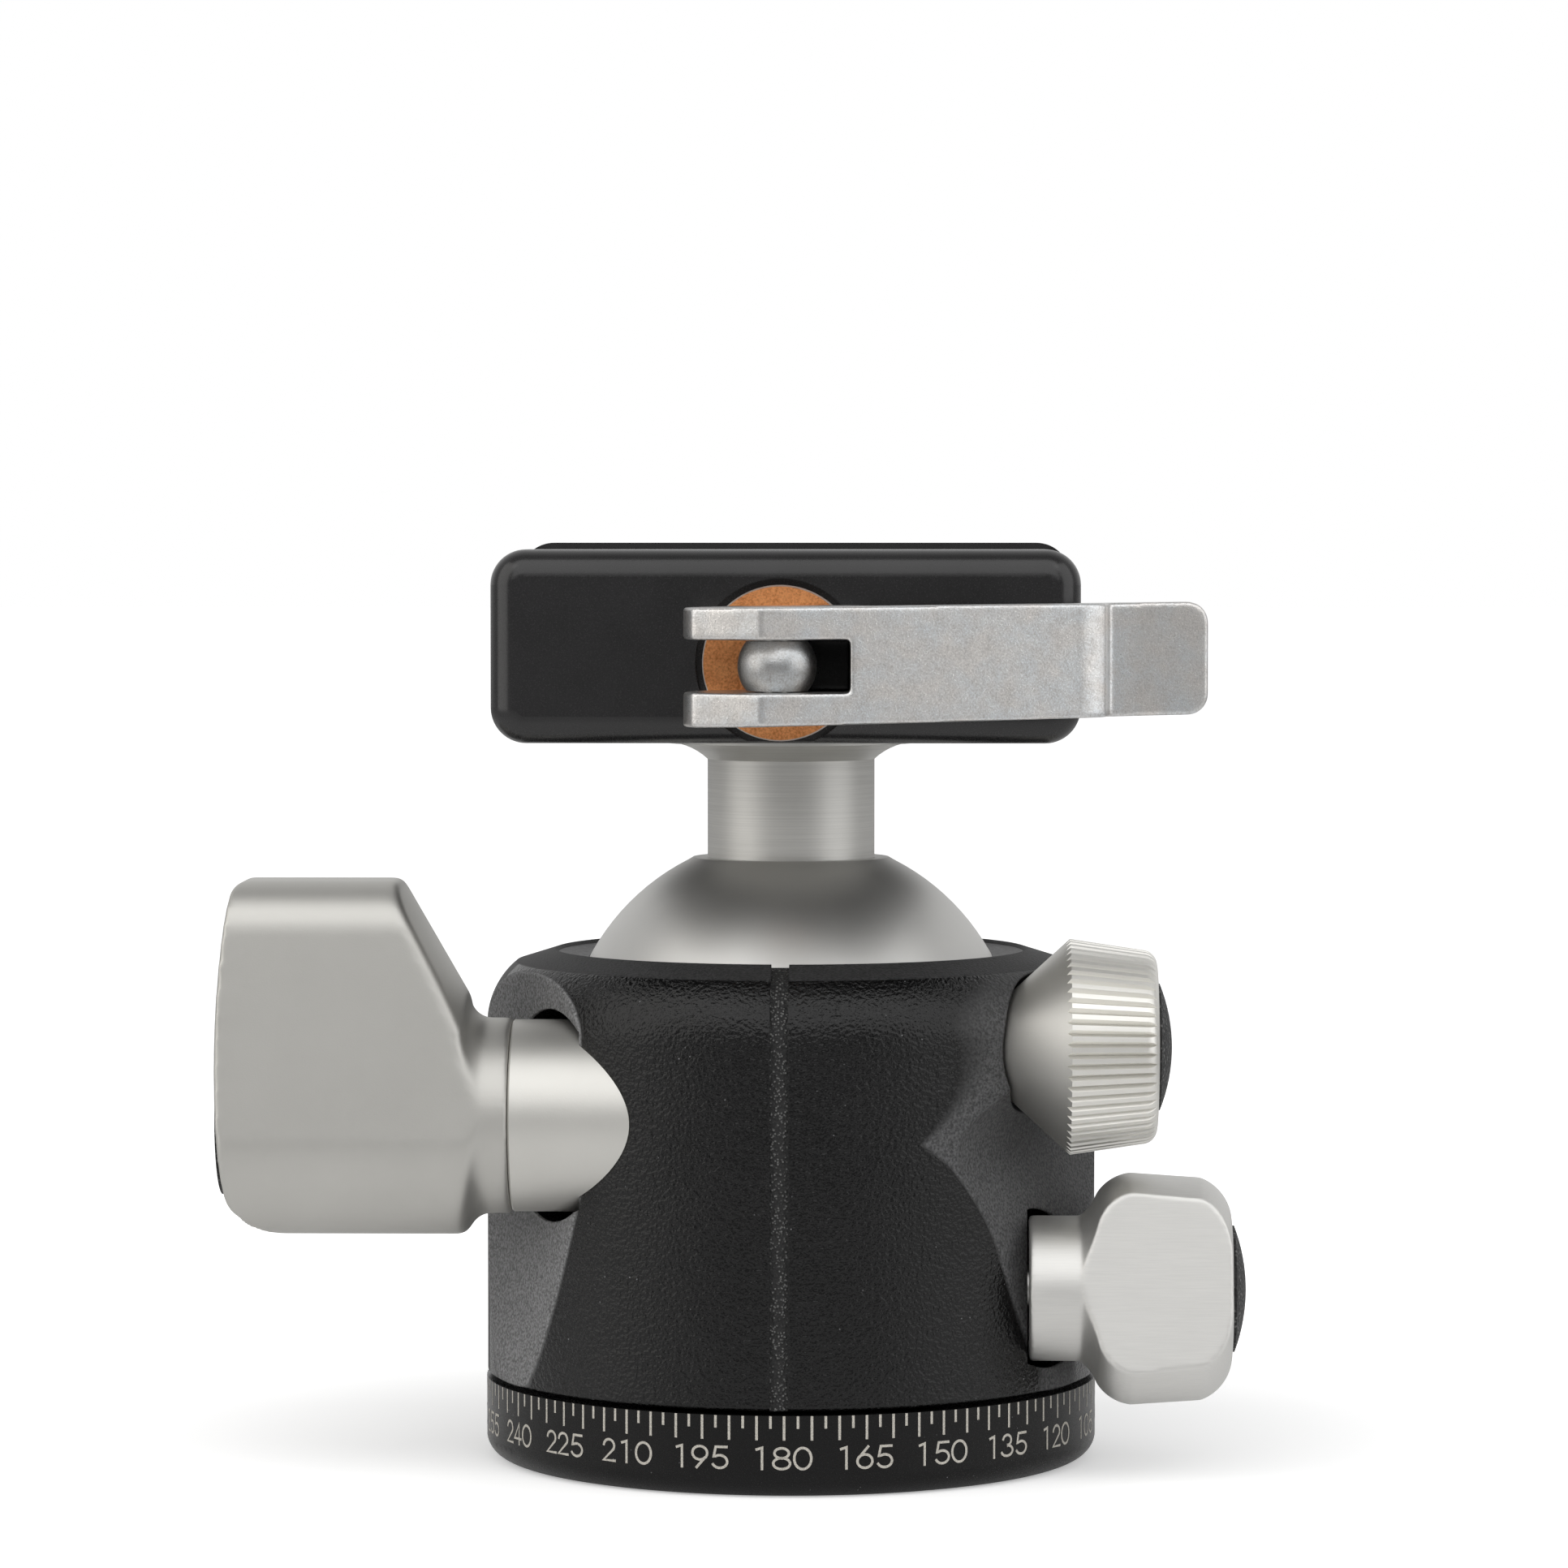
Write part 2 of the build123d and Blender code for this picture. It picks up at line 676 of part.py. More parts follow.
# Lower seat, a ring that turns in the housing and cradles the ball
with BuildPart() as lower_seat:
    seat_radius = cavity_radius - turning_gap
    seat_bottom = chamber_top + turning_gap
    bore_ball = ball_radius + seat_gap
    with BuildSketch(Plane.XZ):
        with BuildLine():
            touch = seat_bottom + lower_seat_foot
            seat_bore = sphere_radius_at(touch, bore_ball)
            seat_top = touch + lower_seat_height
            bore_top = (sphere_radius_at(seat_top, bore_ball), seat_top)
            middle = (touch + seat_top) / 2
            Polyline(
                bore_top,
                (seat_radius, seat_top),
                (seat_radius, seat_bottom),
                (seat_bore, seat_bottom),
                (seat_bore, touch),
            )
            ThreePointArc((seat_bore, touch), (sphere_radius_at(middle, bore_ball), middle), bore_top)
        make_face()
    revolve(axis=Axis.Z)
lower_seat.part.label = "lower_seat"
export_step(lower_seat.part, "parts/lower_seat.step")

# Upper seat, the ring that closes the cavity round the ball
with BuildPart() as upper_seat:
    with BuildSketch(Plane.XZ):
        with BuildLine():
            low = (sphere_radius_at(upper_seat_bottom, bore_ball), upper_seat_bottom)
            high = (sphere_radius_at(upper_seat_top, bore_ball), upper_seat_top)
            middle = (upper_seat_bottom + upper_seat_top) / 2
            Polyline(
                high,
                (cavity_radius, upper_seat_outer_top),
                (cavity_radius, upper_seat_bottom),
                low,
            )
            ThreePointArc(low, (sphere_radius_at(middle, bore_ball), middle), high)
        make_face()
    revolve(axis=Axis.Z)
upper_seat.part.label = "upper_seat"
export_step(upper_seat.part, "parts/upper_seat.step")

# Main lock sleeve, fixed in the housing, hollow for the screw and the shoe
with BuildPart() as main_sleeve:
    with BuildSketch(along_x(-sleeve_outer_end, lock_y, main_z)):
        Circle(sleeve_radius)
    extrude(amount=sleeve_outer_end - sleeve_inner_end)
    chamfer(main_sleeve.faces().sort_by(Axis.X)[0].edges(), sleeve_edge_chamfer)
    with BuildSketch(along_x(-sleeve_outer_end, lock_y, main_z)):
        Circle(main_screw_radius + turning_gap)
    extrude(amount=sleeve_outer_end - shoe_back, mode=Mode.SUBTRACT)
    with BuildSketch(along_x(-shoe_back, lock_y, main_z)):
        Circle(shoe_radius + sliding_gap)
    extrude(amount=shoe_back - sleeve_inner_end, mode=Mode.SUBTRACT)
    with BuildSketch(Plane.XY):
        Circle(cavity_radius)
    extrude(amount=rim_top, mode=Mode.SUBTRACT)
main_sleeve.part.label = "main_sleeve"
export_step(main_sleeve.part, "parts/main_sleeve.step")

# The shoe that the main screw presses on the ball
with BuildPart() as main_shoe:
    with BuildSketch(along_x(-shoe_back + face_gap, lock_y, main_z)):
        Circle(shoe_radius)
    extrude(amount=shoe_back - face_gap - shoe_front)
    with Locations((0, 0, ball_centre)):
        Sphere(bore_ball, mode=Mode.SUBTRACT)
main_shoe.part.label = "main_shoe"
export_step(main_shoe.part, "parts/main_shoe.step")

# The pad that the friction screw presses on the ball
with BuildPart() as friction_pad:
    with BuildSketch(along_x(friction_pad_front, lock_y, friction_z)):
        Circle(friction_pad_radius - sliding_gap)
    extrude(amount=friction_pad_back - face_gap - friction_pad_front)
    with Locations((0, 0, ball_centre)):
        Sphere(bore_ball, mode=Mode.SUBTRACT)
friction_pad.part.label = "friction_pad"
export_step(friction_pad.part, "parts/friction_pad.step")

# The shoe that the pan screw presses on the drum
with BuildPart() as pan_shoe:
    with BuildSketch(along_x(pan_shoe_front, pan_lock_y, pan_z)):
        Circle(pan_screw_radius)
    extrude(amount=pan_shoe_back - pan_shoe_front)
    with BuildSketch(Plane.XY.offset(pan_z - pan_screw_radius - overrun)):
        Circle(drum_radius + seat_gap)
    extrude(amount=2 * (pan_screw_radius + overrun), mode=Mode.SUBTRACT)
pan_shoe.part.label = "pan_shoe"
export_step(pan_shoe.part, "parts/pan_shoe.step")

# Ball, neck and flange, turned in one
with BuildPart() as ball_stem:
    with BuildSketch(Plane.XZ):
        with BuildLine():
            pole = (0, ball_centre - ball_radius)
            side = (ball_radius, ball_centre)
            ring = (shoulder_radius, ball_shoulder)
            ThreePointArc(pole, side, ring)
            cone_start = (neck_radius, flange_start)
            cone_end = (flange_radius, flange_top)
            Polyline(
                ring,
                (shoulder_radius - shoulder_fillet, neck_root),
                (neck_radius, neck_root),
                cone_start,
            )
            ThreePointArc(
                cone_start,
                between(cone_start, cone_end, -flange_cone_hollow, flange_cone_hollow),
                cone_end,
            )
            Polyline(cone_end, (flange_radius, clamp_bottom), (0, clamp_bottom), pole)
        make_face()
    revolve(axis=Axis.Z)
    with BuildSketch(Plane.XY.offset(clamp_bottom)):
        Circle(clamp_screw_radius)
    extrude(amount=clamp_screw_bottom - clamp_bottom, mode=Mode.SUBTRACT)
ball_stem.part.label = "ball_stem"
export_step(ball_stem.part, "parts/ball_stem.step")

# Main knob: a paddle with one long arm, cut to its outline and hollowed towards the housing
main_axis = lock_axis(lock_y, main_z)
with BuildPart() as main_knob:
    with BuildSketch(along_x(-main_knob_outer_end - overrun, lock_y, main_z)) as paddle:
        with BuildLine():
            bottom_centre = main_knob_half_thickness - main_knob_bottom
            left_low = (-main_knob_half_thickness, bottom_centre)
            right_low = (main_knob_half_thickness, bottom_centre)
            ThreePointArc(left_low, (0, -main_knob_bottom), right_low)
            Polyline(
                right_low,
                (main_knob_tip_half_thickness, main_knob_tip),
                (-main_knob_tip_half_thickness, main_knob_tip),
                left_low,
            )
        make_face()
        fillet(paddle.vertices().group_by(Axis.Y)[-1], main_knob_tip_round)
    extrude(amount=main_knob_outer_end - main_knob_inner_end + overrun)
    # The outline from the front, with the domed outer end
    with BuildSketch(lock_profile(lock_y, main_z)) as front_outline:
        with BuildLine():
            corner = (-main_knob_tip_outer_end, -main_knob_bottom)
            tip_corner = (-main_knob_tip_outer_end, main_knob_tip)
            ThreePointArc(corner, (-main_knob_outer_end, main_knob_half_thickness / 2), tip_corner)
            Polyline(
                tip_corner,
                (-main_knob_inner_end, main_knob_tip),
                (-main_knob_inner_end, -main_knob_bottom),
                corner,
            )
        make_face()
        fillet(front_outline.vertices().sort_by_distance(corner)[0], main_knob_hub_round)
        fillet(front_outline.vertices().sort_by_distance(tip_corner)[0], main_knob_corner_round)
    extrude(amount=main_knob_tip, both=True, mode=Mode.INTERSECT)
    # The hollow cone towards the housing, which leaves the collar
    with BuildSketch(lock_profile(lock_y, main_z)):
        with BuildLine():
            collar = (-main_knob_collar_end, main_knob_collar_radius)
            cone = (-main_knob_cone_start, main_knob_cone_start_radius)
            tip = (-main_knob_tip_inner_end, main_knob_tip - main_knob_corner_round)
            slope = (tip[1] - cone[1]) / (tip[0] - cone[0])
            far = (tip[0] - overrun, tip[1] - overrun * slope)
            Line((-main_knob_inner_end + overrun, main_knob_collar_radius), collar)
            hollow = between(collar, cone, -main_knob_collar_hollow, -main_knob_collar_hollow)
            ThreePointArc(collar, hollow, cone)
            Polyline(
                cone,
                far,
                (-main_knob_inner_end + overrun, far[1]),
                (-main_knob_inner_end + overrun, main_knob_collar_radius),
            )
        make_face()
    revolve(axis=main_axis, mode=Mode.SUBTRACT)
    cone_flanks = [
        edge
        for edge in main_knob.edges()
        if edge.bounding_box().min.X > -main_knob_tip_inner_end - main_knob_corner_round
        and edge.bounding_box().max.X < -main_knob_collar_end
        and abs(edge.center().Y - lock_y) > main_knob_half_thickness / 2
        and edge.geom_type != GeomType.CIRCLE
    ]
    fillet(cone_flanks, main_knob_edge_round)
    with BuildSketch(along_x(-main_knob_inner_end, lock_y, main_z)):
        Circle(main_screw_radius)
    extrude(amount=-main_screw_depth, mode=Mode.SUBTRACT)
    with BuildSketch(along_x(-main_knob_outer_end - overrun, lock_y, main_z)):
        Circle(main_cap_radius + cap_fit_gap)
    extrude(amount=main_cap_depth + overrun, mode=Mode.SUBTRACT)
main_knob.part.label = "main_knob"
export_step(main_knob.part, "parts/main_knob.step")


def domed_cap(direction, face, radius, rim, crown, depth, y, z):
    """A press-in cap: a disc sunk in a knob's end face, with a domed head standing proud."""
    with BuildPart() as cap:
        with BuildSketch(lock_profile(y, z)):
            with BuildLine():
                rise = crown - rim
                dome = (radius**2 + rise**2) / (2 * rise)
                inner = direction * (face - depth + cap_fit_gap)
                edge = direction * (face + rim)
                top = direction * (face + crown)
                middle = direction * (face + crown - dome + sqrt(dome**2 - radius**2 / 4))
                Polyline((top, 0), (inner, 0), (inner, radius), (edge, radius))
                ThreePointArc((edge, radius), (middle, radius / 2), (top, 0))
            make_face()
        revolve(axis=lock_axis(y, z))
    return cap


main_knob_cap = domed_cap(
    -1, main_knob_outer_end, main_cap_radius, main_cap_rim, main_cap_crown, main_cap_depth, lock_y, main_z
)
main_knob_cap.part.label = "main_knob_cap"
export_step(main_knob_cap.part, "parts/main_knob_cap.step")

with BuildPart() as main_screw:
    with BuildSketch(along_x(-main_knob_inner_end - main_screw_depth, lock_y, main_z)):
        Circle(main_screw_radius)
    extrude(amount=main_screw_depth + main_knob_inner_end - shoe_back)
main_screw.part.label = "main_screw"
export_step(main_screw.part, "parts/main_screw.step")

# Friction knob: stub, cone and a tapered barrel with grooves that run out on the cone
friction_axis = lock_axis(lock_y, friction_z)
friction_taper = friction_taper_step / friction_barrel_length


def groove_ring(radius):
    """Corners of the star whose notches are the grooves at this radius of the barrel."""
    step = 180 / friction_groove_count
    notch = radius - friction_groove_depth
    point = radius + friction_groove_depth * friction_groove_point_share
    return [
        ((notch, point)[n % 2] * cos(radians(n * step)), (notch, point)[n % 2] * sin(radians(n * step)))
        for n in range(2 * friction_groove_count)
    ]


with BuildPart() as groove_star:
    for x in (friction_cone_end - friction_groove_lead, friction_face + overrun):
        with BuildSketch(along_x(x, lock_y, friction_z)):
            Polygon(*groove_ring(friction_radius - (x - friction_cone_end) * friction_taper), align=None)
    loft(ruled=True)

with BuildPart() as groove_cutter:
    with BuildSketch(along_x(friction_cone_end - friction_groove_lead, lock_y, friction_z)):
        Circle(friction_radius + overrun)
    extrude(amount=friction_groove_lead + friction_face - friction_cone_end)
    add(groove_star.part, mode=Mode.SUBTRACT)

with BuildPart() as friction_knob:
    with BuildSketch(lock_profile(lock_y, friction_z)):
        with BuildLine():
            Polyline(
                (friction_face, 0),
                (friction_stub_start, 0),
                (friction_stub_start, friction_stub_radius),
                (friction_cone_start, friction_stub_radius),
                (friction_cone_start, friction_cone_start_radius),
                (friction_cone_end, friction_radius),
                (friction_barrel_end, friction_end_radius),
            )
            barrel_edge = (friction_barrel_end, friction_end_radius)
            face_edge = (friction_face, friction_face_radius)
            swell = friction_edge_swell / 2
            ThreePointArc(barrel_edge, between(barrel_edge, face_edge, swell, swell), face_edge)
            Line(face_edge, (friction_face, 0))
        make_face()
    revolve(axis=friction_axis)
    add(groove_cutter.part, mode=Mode.SUBTRACT)
    with BuildSketch(along_x(friction_stub_start, lock_y, friction_z)):
        Circle(friction_screw_radius)
    extrude(amount=friction_screw_depth, mode=Mode.SUBTRACT)
    with BuildSketch(along_x(friction_face, lock_y, friction_z)):
        Circle(friction_cap_radius + cap_fit_gap)
    extrude(amount=-friction_cap_depth, mode=Mode.SUBTRACT)
friction_knob.part.label = "friction_knob"
export_step(friction_knob.part, "parts/friction_knob.step")

friction_knob_cap = domed_cap(
    1,
    friction_face,
    friction_cap_radius,
    friction_cap_rim,
    friction_cap_crown,
    friction_cap_depth,
    lock_y,
    friction_z,
)
friction_knob_cap.part.label = "friction_knob_cap"
export_step(friction_knob_cap.part, "parts/friction_knob_cap.step")

with BuildPart() as friction_screw:
    with BuildSketch(along_x(friction_pad_back, lock_y, friction_z)):
        Circle(friction_screw_radius)
    extrude(amount=friction_stub_start + friction_screw_depth - friction_pad_back)
friction_screw.part.label = "friction_screw"
export_step(friction_screw.part, "parts/friction_screw.step")

# Pan knob: a collar, a hollow neck and a grip with two flats
pan_axis = lock_axis(pan_lock_y, pan_z)
with BuildPart() as pan_knob:
    with BuildSketch(lock_profile(pan_lock_y, pan_z)):
        with BuildLine():
            collar = (pan_collar_end, pan_collar_radius)
            neck = (pan_neck_end, pan_neck_end_radius)
            grip = (pan_grip_start, pan_grip_radius)
            grip_end = (pan_grip_end, pan_grip_end_radius)
            face = (pan_face, pan_face_radius)
            Polyline((pan_face, 0), (pan_collar_start, 0), (pan_collar_start, pan_collar_radius), collar)
            ThreePointArc(collar, between(collar, neck, pan_neck_hollow / 2, -pan_neck_hollow / 2), neck)
            ThreePointArc(neck, between(neck, grip, -pan_grip_swell / 2, pan_grip_swell / 2), grip)
            Line(grip, grip_end)
            ThreePointArc(grip_end, between(grip_end, face, pan_face_swell / 2, pan_face_swell / 2), face)
            Line(face, (pan_face, 0))
        make_face()
    revolve(axis=pan_axis)
    slab = Plane(
        origin=(pan_collar_end, pan_lock_y, pan_z),
        x_dir=(0, cos(radians(pan_flat_tilt)), -sin(radians(pan_flat_tilt))),
        z_dir=(1, 0, 0),
    )
    with BuildSketch(slab):
        for side in (-1, 1):
            with Locations((side * (pan_flat_distance + pan_grip_radius / 2), 0)):
                Rectangle(pan_grip_radius, 2 * pan_grip_radius + overrun)
    extrude(amount=pan_face - pan_collar_end + overrun, mode=Mode.SUBTRACT)
    with BuildSketch(along_x(pan_collar_start, pan_lock_y, pan_z)):
        Circle(pan_screw_radius)
    extrude(amount=pan_screw_depth, mode=Mode.SUBTRACT)
    with BuildSketch(along_x(pan_face, pan_lock_y, pan_z)):
        Circle(pan_cap_radius + cap_fit_gap)
    extrude(amount=-pan_cap_depth, mode=Mode.SUBTRACT)
pan_knob.part.label = "pan_knob"
export_step(pan_knob.part, "parts/pan_knob.step")

pan_knob_cap = domed_cap(
    1, pan_face, pan_cap_radius, pan_cap_rim, pan_cap_crown, pan_cap_depth, pan_lock_y, pan_z
)
pan_knob_cap.part.label = "pan_knob_cap"
export_step(pan_knob_cap.part, "parts/pan_knob_cap.step")

with BuildPart() as pan_screw:
    with BuildSketch(along_x(pan_screw_inner_end, pan_lock_y, pan_z)):
        Circle(pan_screw_radius)
    extrude(amount=pan_collar_start + pan_screw_depth - pan_screw_inner_end)
pan_screw.part.label = "pan_screw"
export_step(pan_screw.part, "parts/pan_screw.step")

# Clamp body: the bed, the fixed jaw at the back and the seat of the clamp screw
lip_inner = dovetail_half - dovetail_rise / sin(radians(dovetail_angle)) * cos(radians(dovetail_angle))


def jaw_profile(side, ledge, top):
    """The channel's edge on one side, from the ledge up to the lip: points (Y, Z)."""
    return [
        (side * dovetail_half, ledge),
        (side * dovetail_half, clamp_bed + dovetail_foot),
        (side * lip_inner, dovetail_slope_top),
        (side * lip_inner, top - lip_chamfer),
        (side * (lip_inner + lip_chamfer), top),
    ]


with BuildPart() as clamp_body:
    with BuildSketch(Plane.XZ.offset(jaw_parting)):
        with Locations((0, (clamp_bottom + fixed_jaw_top) / 2)):
            RectangleRounded(clamp_length, fixed_jaw_top - clamp_bottom, jaw_corner_round)
    extrude(amount=-jaw_parting - fixed_jaw_back)
    fillet(clamp_body.faces().sort_by(Axis.Y)[-1].edges(), jaw_edge_round)
    with BuildSketch(Plane.YZ):
        channel = jaw_profile(1, clamp_bed, fixed_jaw_top)
        above = fixed_jaw_top + overrun
        before = -jaw_parting - overrun
        lip = (lip_inner + lip_chamfer, above)
        Polygon(*channel, lip, (before, above), (before, clamp_bed), align=None)
    extrude(amount=clamp_length, both=True, mode=Mode.SUBTRACT)
    # Seat of the clamp screw
    with BuildSketch(Plane.XY.offset(clamp_bed)):
        Circle(clamp_screw_room)
    extrude(amount=-clamp_screw_recess - clamp_screw_head_height, mode=Mode.SUBTRACT)
    with BuildSketch(Plane.XY.offset(clamp_bed)):
        Circle(clamp_screw_radius)
    extrude(amount=clamp_bottom - clamp_bed, mode=Mode.SUBTRACT)
    # Holes of the draw rod and the guide pins
    with BuildSketch(Plane.XZ.offset(jaw_parting)):
        with Locations((rod_x, rod_z)):
            Circle(rod_radius)
    extrude(amount=rod_inner_end - jaw_parting, mode=Mode.SUBTRACT)
    with BuildSketch(Plane.XZ.offset(jaw_parting)):
        with Locations((-guide_pin_spacing / 2, rod_z), (guide_pin_spacing / 2, rod_z)):
            Circle(guide_pin_radius)
    extrude(amount=guide_pin_inner_end - jaw_parting, mode=Mode.SUBTRACT)
clamp_body.part.label = "clamp_body"
export_step(clamp_body.part, "parts/clamp_body.step")

# Moving jaw, with the recess of the washers, the spring's pocket and the holes of its guides
jaw_inner = jaw_parting + jaw_closed_gap
with BuildPart() as moving_jaw:
    with BuildSketch(Plane.XZ.offset(moving_jaw_front)):
        with Locations((0, (clamp_bottom + moving_jaw_top) / 2)):
            RectangleRounded(clamp_length, moving_jaw_top - clamp_bottom, jaw_corner_round)
    extrude(amount=jaw_inner - moving_jaw_front)
    fillet(moving_jaw.faces().sort_by(Axis.Y)[0].edges(), jaw_edge_round)
    with BuildSketch(Plane.YZ):
        channel = jaw_profile(-1, clamp_bed - jaw_ledge_drop, moving_jaw_top)
        above = moving_jaw_top + overrun
        Polygon(
            *channel,
            (-lip_inner - lip_chamfer, above),
            (0, above),
            (0, clamp_bed - jaw_ledge_drop),
            align=None,
        )
    extrude(amount=clamp_length, both=True, mode=Mode.SUBTRACT)
    with BuildSketch(Plane.XZ.offset(moving_jaw_front)):
        with Locations((rod_x, rod_z)):
            Circle(recess_radius)
        with Locations((rod_x, clamp_bottom + recess_wall)):
            Rectangle(
                2 * recess_radius, 2 * recess_radius, align=(Align.CENTER, Align.MIN), mode=Mode.INTERSECT
            )
    extrude(amount=-recess_depth, mode=Mode.SUBTRACT)
    with BuildSketch(Plane.XZ.offset(moving_jaw_front)):
        with Locations((rod_x, rod_z)):
            Circle(rod_radius + face_gap)
    extrude(amount=jaw_inner - moving_jaw_front, mode=Mode.SUBTRACT)
    with BuildSketch(Plane.XZ.offset(jaw_inner)):
        with Locations((rod_x, rod_z)):
            Circle(spring_pocket_radius)
    extrude(amount=spring_pocket_depth, mode=Mode.SUBTRACT)
    with BuildSketch(Plane.XZ.offset(jaw_inner)):
        with Locations((-guide_pin_spacing / 2, rod_z), (guide_pin_spacing / 2, rod_z)):
            Circle(guide_pin_radius + sliding_gap)
    extrude(amount=guide_pin_outer_end + jaw_closed_gap - jaw_inner, mode=Mode.SUBTRACT)
moving_jaw.part.label = "moving_jaw"
export_step(moving_jaw.part, "parts/moving_jaw.step")

with BuildPart() as guide_pins:
    with BuildSketch(Plane.XZ.offset(guide_pin_inner_end)):
        with Locations((-guide_pin_spacing / 2, rod_z), (guide_pin_spacing / 2, rod_z)):
            Circle(guide_pin_radius)
    extrude(amount=guide_pin_outer_end - guide_pin_inner_end)
guide_pins.part.label = "guide_pins"
export_step(guide_pins.part, "parts/guide_pins.step")

# The washers under the lever's cam, in the jaw's recess
recess_floor = moving_jaw_front - recess_depth
with BuildPart() as washer_backing:
    with BuildSketch(Plane.XZ.offset(recess_floor)):
        with Locations((rod_x, rod_z)):
            Circle(backing_radius)
            Circle(rod_radius + face_gap, mode=Mode.SUBTRACT)
    extrude(amount=backing_thickness)
washer_backing.part.label = "washer_backing"
export_step(washer_backing.part, "parts/washer_backing.step")

with BuildPart() as cam_washer:
    with BuildSketch(Plane.XZ.offset(recess_floor + backing_thickness)):
        with Locations((rod_x, rod_z)):
            Circle(washer_radius)
            Circle(rod_radius + face_gap, mode=Mode.SUBTRACT)
    extrude(amount=cam_washer_thickness)
cam_washer.part.label = "cam_washer"
export_step(cam_washer.part, "parts/cam_washer.step")

# Draw rod, screwed into the clamp body, with a ball eye that holds the lever's pin
with BuildPart() as draw_rod:
    with Locations((rod_x, -lever_pin_front, rod_z)):
        Sphere(rod_eye_radius)
        Box(4 * rod_eye_radius, 4 * rod_eye_radius, rod_eye_height, mode=Mode.INTERSECT)
    with BuildSketch(Plane.XZ.offset(rod_inner_end)):
        with Locations((rod_x, rod_z)):
            Circle(rod_radius)
    extrude(amount=lever_pin_front - rod_inner_end)
    with BuildSketch(Plane.XY.offset(rod_z - rod_eye_height / 2)):
        with Locations((rod_x, -lever_pin_front)):
            Circle(lever_pin_radius + turning_gap)
    extrude(amount=rod_eye_height, mode=Mode.SUBTRACT)
draw_rod.part.label = "draw_rod"
export_step(draw_rod.part, "parts/draw_rod.step")

# Spring on the draw rod that pushes the jaw open
spring_length = jaw_inner + spring_pocket_depth - jaw_parting - 2 * spring_wire_radius
with BuildPart() as jaw_spring:
    spring_foot = (rod_x, -jaw_parting - spring_wire_radius, rod_z)
    with BuildLine():
        pitch = spring_length / spring_turns
        coil = Helix(pitch, spring_length, spring_radius, center=spring_foot, direction=(0, -1, 0))
    with BuildSketch(Plane(origin=coil @ 0, z_dir=coil % 0)):
        Circle(spring_wire_radius)
    sweep(path=coil, is_frenet=True)
jaw_spring.part.label = "jaw_spring"
export_step(jaw_spring.part, "parts/jaw_spring.step")

# Screw that holds the clamp on the neck
with BuildPart() as clamp_screw:
    with BuildSketch(Plane.XY.offset(clamp_screw_bottom)):
        Circle(clamp_screw_radius)
    head_bottom = clamp_bed - clamp_screw_recess - clamp_screw_head_height
    extrude(amount=head_bottom - clamp_screw_bottom)
    with BuildSketch(Plane.XY.offset(head_bottom)):
        Circle(clamp_screw_head_radius)
    extrude(amount=clamp_screw_head_height)
    with BuildSketch(Plane.XY.offset(head_bottom + clamp_screw_head_height)):
        RegularPolygon(clamp_screw_socket_flats / 2, 6, major_radius=False)
    extrude(amount=-clamp_screw_socket_depth, mode=Mode.SUBTRACT)
clamp_screw.part.label = "clamp_screw"
export_step(clamp_screw.part, "parts/clamp_screw.step")


def cam_point(angle):
    """A point of the cam in plan: its radius falls steadily from the start, to push the jaw."""
    radius = cam_start_radius - cam_fall * radians(max(angle - cam_start, 0))
    return (rod_x + radius * cos(radians(angle)), -lever_pin_front + radius * sin(radians(angle)))


